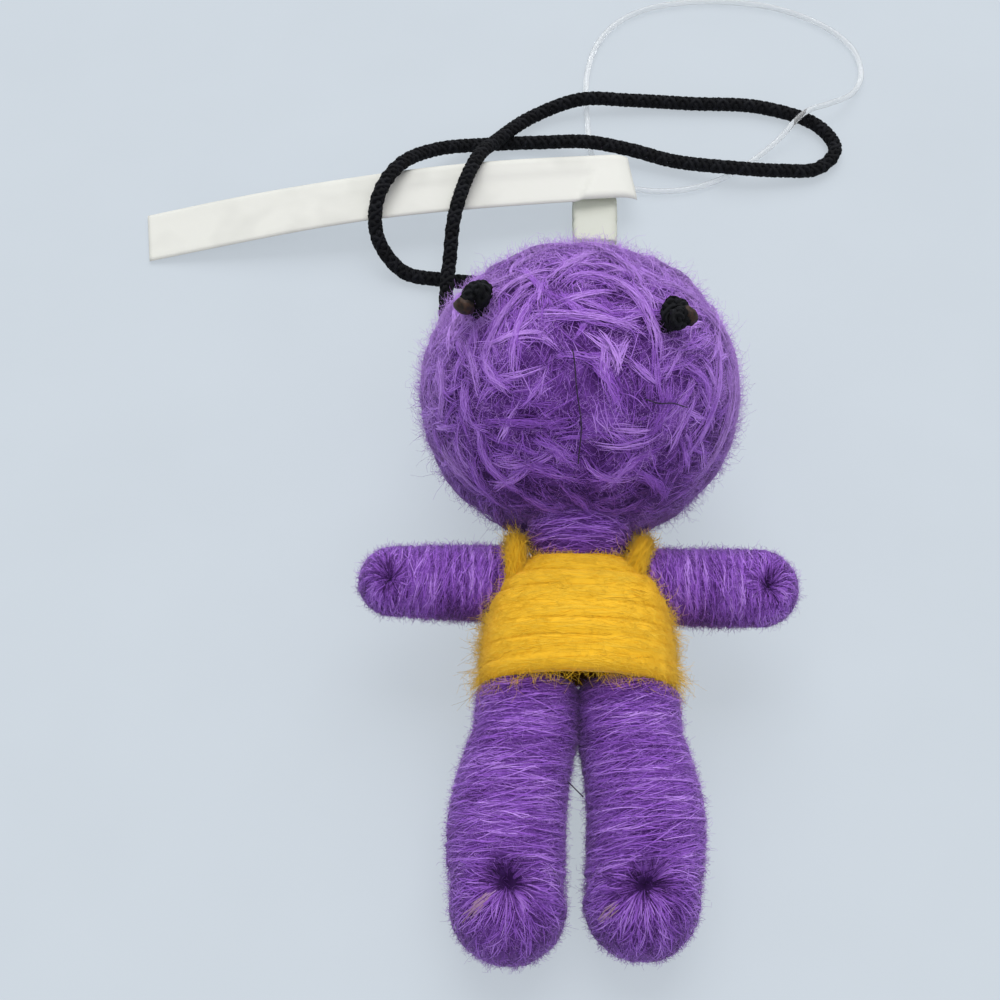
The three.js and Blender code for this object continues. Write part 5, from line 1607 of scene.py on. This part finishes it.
class DOLL_OT_tag(bpy.types.Operator):
    """Make the bare paper strip, its frosted lock and its clear filament"""

    bl_idname = "doll.tag"
    bl_label = "Tag"

    def execute(self, context):
        doll = context.scene.yarn_doll
        self.strip(doll.sizes, doll.colours)
        lock = self.lock(doll.sizes, doll.colours)
        self.filament(doll.sizes, doll.colours, lock)
        return {"FINISHED"}

    def strip(self, sizes, colours):
        """The bare strip: it leans on the lock, arches down to the table, and one half of it is doubled"""
        paper = WoolMesh()
        length, width, thick = sizes.strip_size
        lock_top = LOCK_LIFT + sizes.lock_size[2] + SEAT_GAP
        share = np.linspace(0, 1, STRIP_STATIONS)[:, None]
        across = np.linspace(-1, 1, STRIP_ACROSS)
        over = np.concatenate([across, across[::-1]])[None]
        face = np.repeat([1.0, 0.0], STRIP_ACROSS)[None]
        along = -length * (1 - share)
        rise = SEAT_GAP + (lock_top - SEAT_GAP) * share + STRIP_ARCH * np.sin(math.pi * share)
        curl = 0.35 * MM * np.maximum(over - 0.45, 0) ** 1.5 * (0.4 + share)
        wave = 0.12 * MM * np.sin(9 * share + 1.0) * over
        edge = np.where(np.abs(over) > 0.99, 0.25, 1.0)
        flap = np.clip((share - FLAP_FROM - FLAP_SLANT * (over + 1)) / FLAP_EDGE, 0, 1)
        step = np.maximum(np.clip((over - 0.1) / 0.3, 0, 1) * np.clip(2 * share - 0.4, 0, 1), flap)
        x = along + 0 * over
        y = 0.5 * width * over + 0 * share
        z = rise + curl + wave * np.sin(math.pi * share) + thick * (0.5 + (face - 0.5) * edge)
        z = z + STEP_RISE * face * step * (edge == 1.0) + FLAP_TILT * flap * (1 - over)
        z = z - DROOP * np.clip((share - DROOP_FROM) / (1 - DROOP_FROM), 0, 1) ** 2
        c, s = math.cos(STRIP_TURN), math.sin(STRIP_TURN)
        foot = on_table((*STRIP_END, 0.0))
        rings = foot + np.stack([x * c - y * s, x * s + y * c, z], -1)
        paper.skin(rings, 0.5)
        made = paper.build("tag_paper", bare_paper(colours))
        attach(made, "head")
        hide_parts("tag_strip")

    def lock(self, sizes, colours):
        """The frosted lock with its seam and its rounded rims"""
        plastic = WoolMesh()
        width, length, height = sizes.lock_size
        foot = on_table((*LOCK_CENTRE, 0.0)) + np.array([0, 0, LOCK_LIFT + 0.5 * height])
        angle = TURN * np.arange(LOCK_SIDES) / LOCK_SIDES
        flat = np.stack([np.cos(angle), np.sin(angle)], -1)
        flat = np.sign(flat) * np.abs(flat) ** LOCK_ROUNDNESS
        rings = []
        for ahead, swell in LOCK_PROFILE:
            aside, up = 0.5 * width * swell * flat[:, 0], 0.5 * height * min(1.0, swell + 0.05) * flat[:, 1]
            rings.append(foot + np.stack([aside, np.full(LOCK_SIDES, ahead * length), up], -1))
        plastic.skin(np.array(rings), 0.5)
        made = plastic.build("tag_clasp", frosted_plastic(colours))
        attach(made, "head")
        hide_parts("tag_lock")
        return made

    def filament(self, sizes, colours, lock):
        """The clear loop from the lock through the cord's loop and back"""
        nylon = WoolMesh()
        path = smooth_route(on_table(FILAMENT_ROUTE), 0.5 * MM)
        normal, _ = carried_normals(path)
        nylon.strands(path[None], normal[None], 0.5 * sizes.filament_diameter, 0.5, sides=12)
        made = nylon.build("tag_filament", clear_nylon(colours))
        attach(made, "head")
        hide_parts("tag_loop")


class DOLL_OT_wires(bpy.types.Operator):
    """Finish the soft wire of the skeleton"""

    bl_idname = "doll.wires"
    bl_label = "Wires"

    def execute(self, context):
        wire = soft_wire(context.scene.yarn_doll.colours)
        for name, node in frame["nodes"].items():
            if name.endswith("_wire") or "_wire_" in name:
                node.data.materials.clear()
                node.data.materials.append(wire)
        return {"FINISHED"}


# How bright the table is seen, and how much of that is its own even level rather than the lamps' light
FLOOR_LEVEL = 1.09
FLOOR_GLOW = 0.7
FLOOR_HALF = 3.0

# The lamps: name, place, size and power, all aimed at one spot on the doll
LAMPS = (("key softbox", (0.05, 2.00, 2.50), 2.80, 79.0), ("front softbox", (0.15, -0.55, 0.95), 0.60, 1.4))
LAMP_AIM = (0.0, 0.02, 0.01)
SKY_COLOUR = (0.96, 0.98, 1.0, 1)
SKY_STRENGTH = 0.55

# The camera: its place in millimetres, how far it looks down, its roll and its lens
EYE_PLACE = (-10.365, -100.741, 210.872)
EYE_DROP = math.radians(60.0)
EYE_ROLL = math.radians(1.148)
EYE_LENS = 61.2
EYE_SENSOR = 36.0


class DOLL_OT_stage(bpy.types.Operator):
    """Set the table, the soft light and the camera"""

    bl_idname = "doll.stage"
    bl_label = "Stage"

    def execute(self, context):
        self.table(context.scene)
        self.light(context.scene)
        self.camera(context.scene)
        context.scene.view_settings.view_transform = "Standard"
        return {"FINISHED"}

    def table(self, scene):
        """A wide pale table that keeps the doll's shadow and is seen at an even level"""
        mesh = bpy.data.meshes.new("table")
        corners = [(FLOOR_HALF * x, FLOOR_HALF * y, 0) for x, y in ((-1, -1), (1, -1), (1, 1), (-1, 1))]
        mesh.from_pydata(corners, [], [(0, 1, 2, 3)])
        table = bpy.data.objects.new("table", mesh)
        scene.collection.objects.link(table)
        material, shader, wiring = bare_material("pale table")
        grain = wiring.group(fine_grain_group(), Scale=40.0)
        pale = Vector(scene.yarn_doll.colours.floor)
        tint = wiring.mixed(grain["Height"], opaque(pale), opaque(1.06 * pale))
        wiring.fill(shader, Base_Color=tint, Roughness=0.7, Specular_IOR_Level=0.2)
        glow = wiring.nodes.new("ShaderNodeEmission")
        wiring.fill(glow, Color=tint, Strength=FLOOR_LEVEL)
        ray = wiring.nodes.new("ShaderNodeLightPath").outputs
        seen = wiring.maths("ADD", ray["Is Camera Ray"], ray["Is Glossy Ray"])
        seen = wiring.maths("ADD", seen, ray["Is Transmission Ray"])
        mixed = wiring.nodes.new("ShaderNodeMixShader")
        wiring.fill(mixed, Fac=wiring.maths("MULTIPLY", seen, FLOOR_GLOW))
        wiring.link(shader.outputs["BSDF"], mixed.inputs[1])
        wiring.link(glow.outputs["Emission"], mixed.inputs[2])
        wiring.fill(wiring.nodes["Material Output"], Surface=mixed.outputs["Shader"])
        mesh.materials.append(material)

    def light(self, scene):
        """An even pale sky and two softboxes"""
        world = bpy.data.worlds.new("studio")
        world.use_nodes = True
        wiring = Wiring(world.node_tree)
        wiring.fill(wiring.nodes["Background"], Color=SKY_COLOUR, Strength=SKY_STRENGTH)
        scene.world = world
        for name, place, size, power in LAMPS:
            lamp = bpy.data.lights.new(name, "AREA")
            lamp.size = size
            lamp.energy = power
            holder = bpy.data.objects.new(name, lamp)
            holder.location = place
            aim = Vector(LAMP_AIM) - Vector(place)
            holder.rotation_euler = aim.to_track_quat("-Z", "Y").to_euler()
            scene.collection.objects.link(holder)

    def camera(self, scene):
        """The camera above the doll's feet, looking down on its back"""
        eye = bpy.data.cameras.new("eye")
        eye.sensor_width = EYE_SENSOR
        eye.lens = EYE_LENS
        eye.clip_start = 0.01
        camera = bpy.data.objects.new("eye", eye)
        scene.collection.objects.link(camera)
        right = Vector((1, 0, 0))
        up = Vector((0, math.sin(EYE_DROP), math.cos(EYE_DROP)))
        back = right.cross(up)
        leaned_right = right * math.cos(EYE_ROLL) + up * math.sin(EYE_ROLL)
        leaned_up = up * math.cos(EYE_ROLL) - right * math.sin(EYE_ROLL)
        stand = Matrix((leaned_right, leaned_up, back)).transposed().to_4x4()
        stand.translation = Vector(EYE_PLACE) * MM
        camera.matrix_world = stand
        scene.camera = camera


class DOLL_PT_panel(bpy.types.Panel):
    """Lists the doll's settings and its pieces"""

    bl_idname = "DOLL_PT_panel"
    bl_label = "Yarn Doll"
    bl_space_type = "VIEW_3D"
    bl_region_type = "UI"
    bl_category = "Yarn Doll"

    def draw(self, context):
        doll = context.scene.yarn_doll
        for group in (doll.sizes, doll.fibres, doll.colours):
            box = self.layout.box()
            for name in group.__annotations__:
                box.prop(group, name)
        for operator in OPERATORS:
            self.layout.operator(operator.bl_idname)


OPERATORS = (
    DOLL_OT_stage, DOLL_OT_knots, DOLL_OT_tag, DOLL_OT_hanging_cord, DOLL_OT_head, DOLL_OT_neck,
    DOLL_OT_dress, DOLL_OT_arms, DOLL_OT_legs, DOLL_OT_wires,
)
CLASSES = (DollSizes, DollFibres, DollColours, DollSettings, *OPERATORS, DOLL_PT_panel)


def register():
    """Make the settings, the operators and the panel known"""
    for cls in CLASSES:
        bpy.utils.register_class(cls)
    bpy.types.Scene.yarn_doll = PointerProperty(type=DollSettings)


def unregister():
    """Take the settings, the operators and the panel away again"""
    del bpy.types.Scene.yarn_doll
    for cls in reversed(CLASSES):
        bpy.utils.unregister_class(cls)


def main():
    """Build every piece"""
    register()
    for operator in OPERATORS:
        group, name = operator.bl_idname.split(".")
        getattr(getattr(bpy.ops, group), name)()


if __name__ == "__main__":
    main()
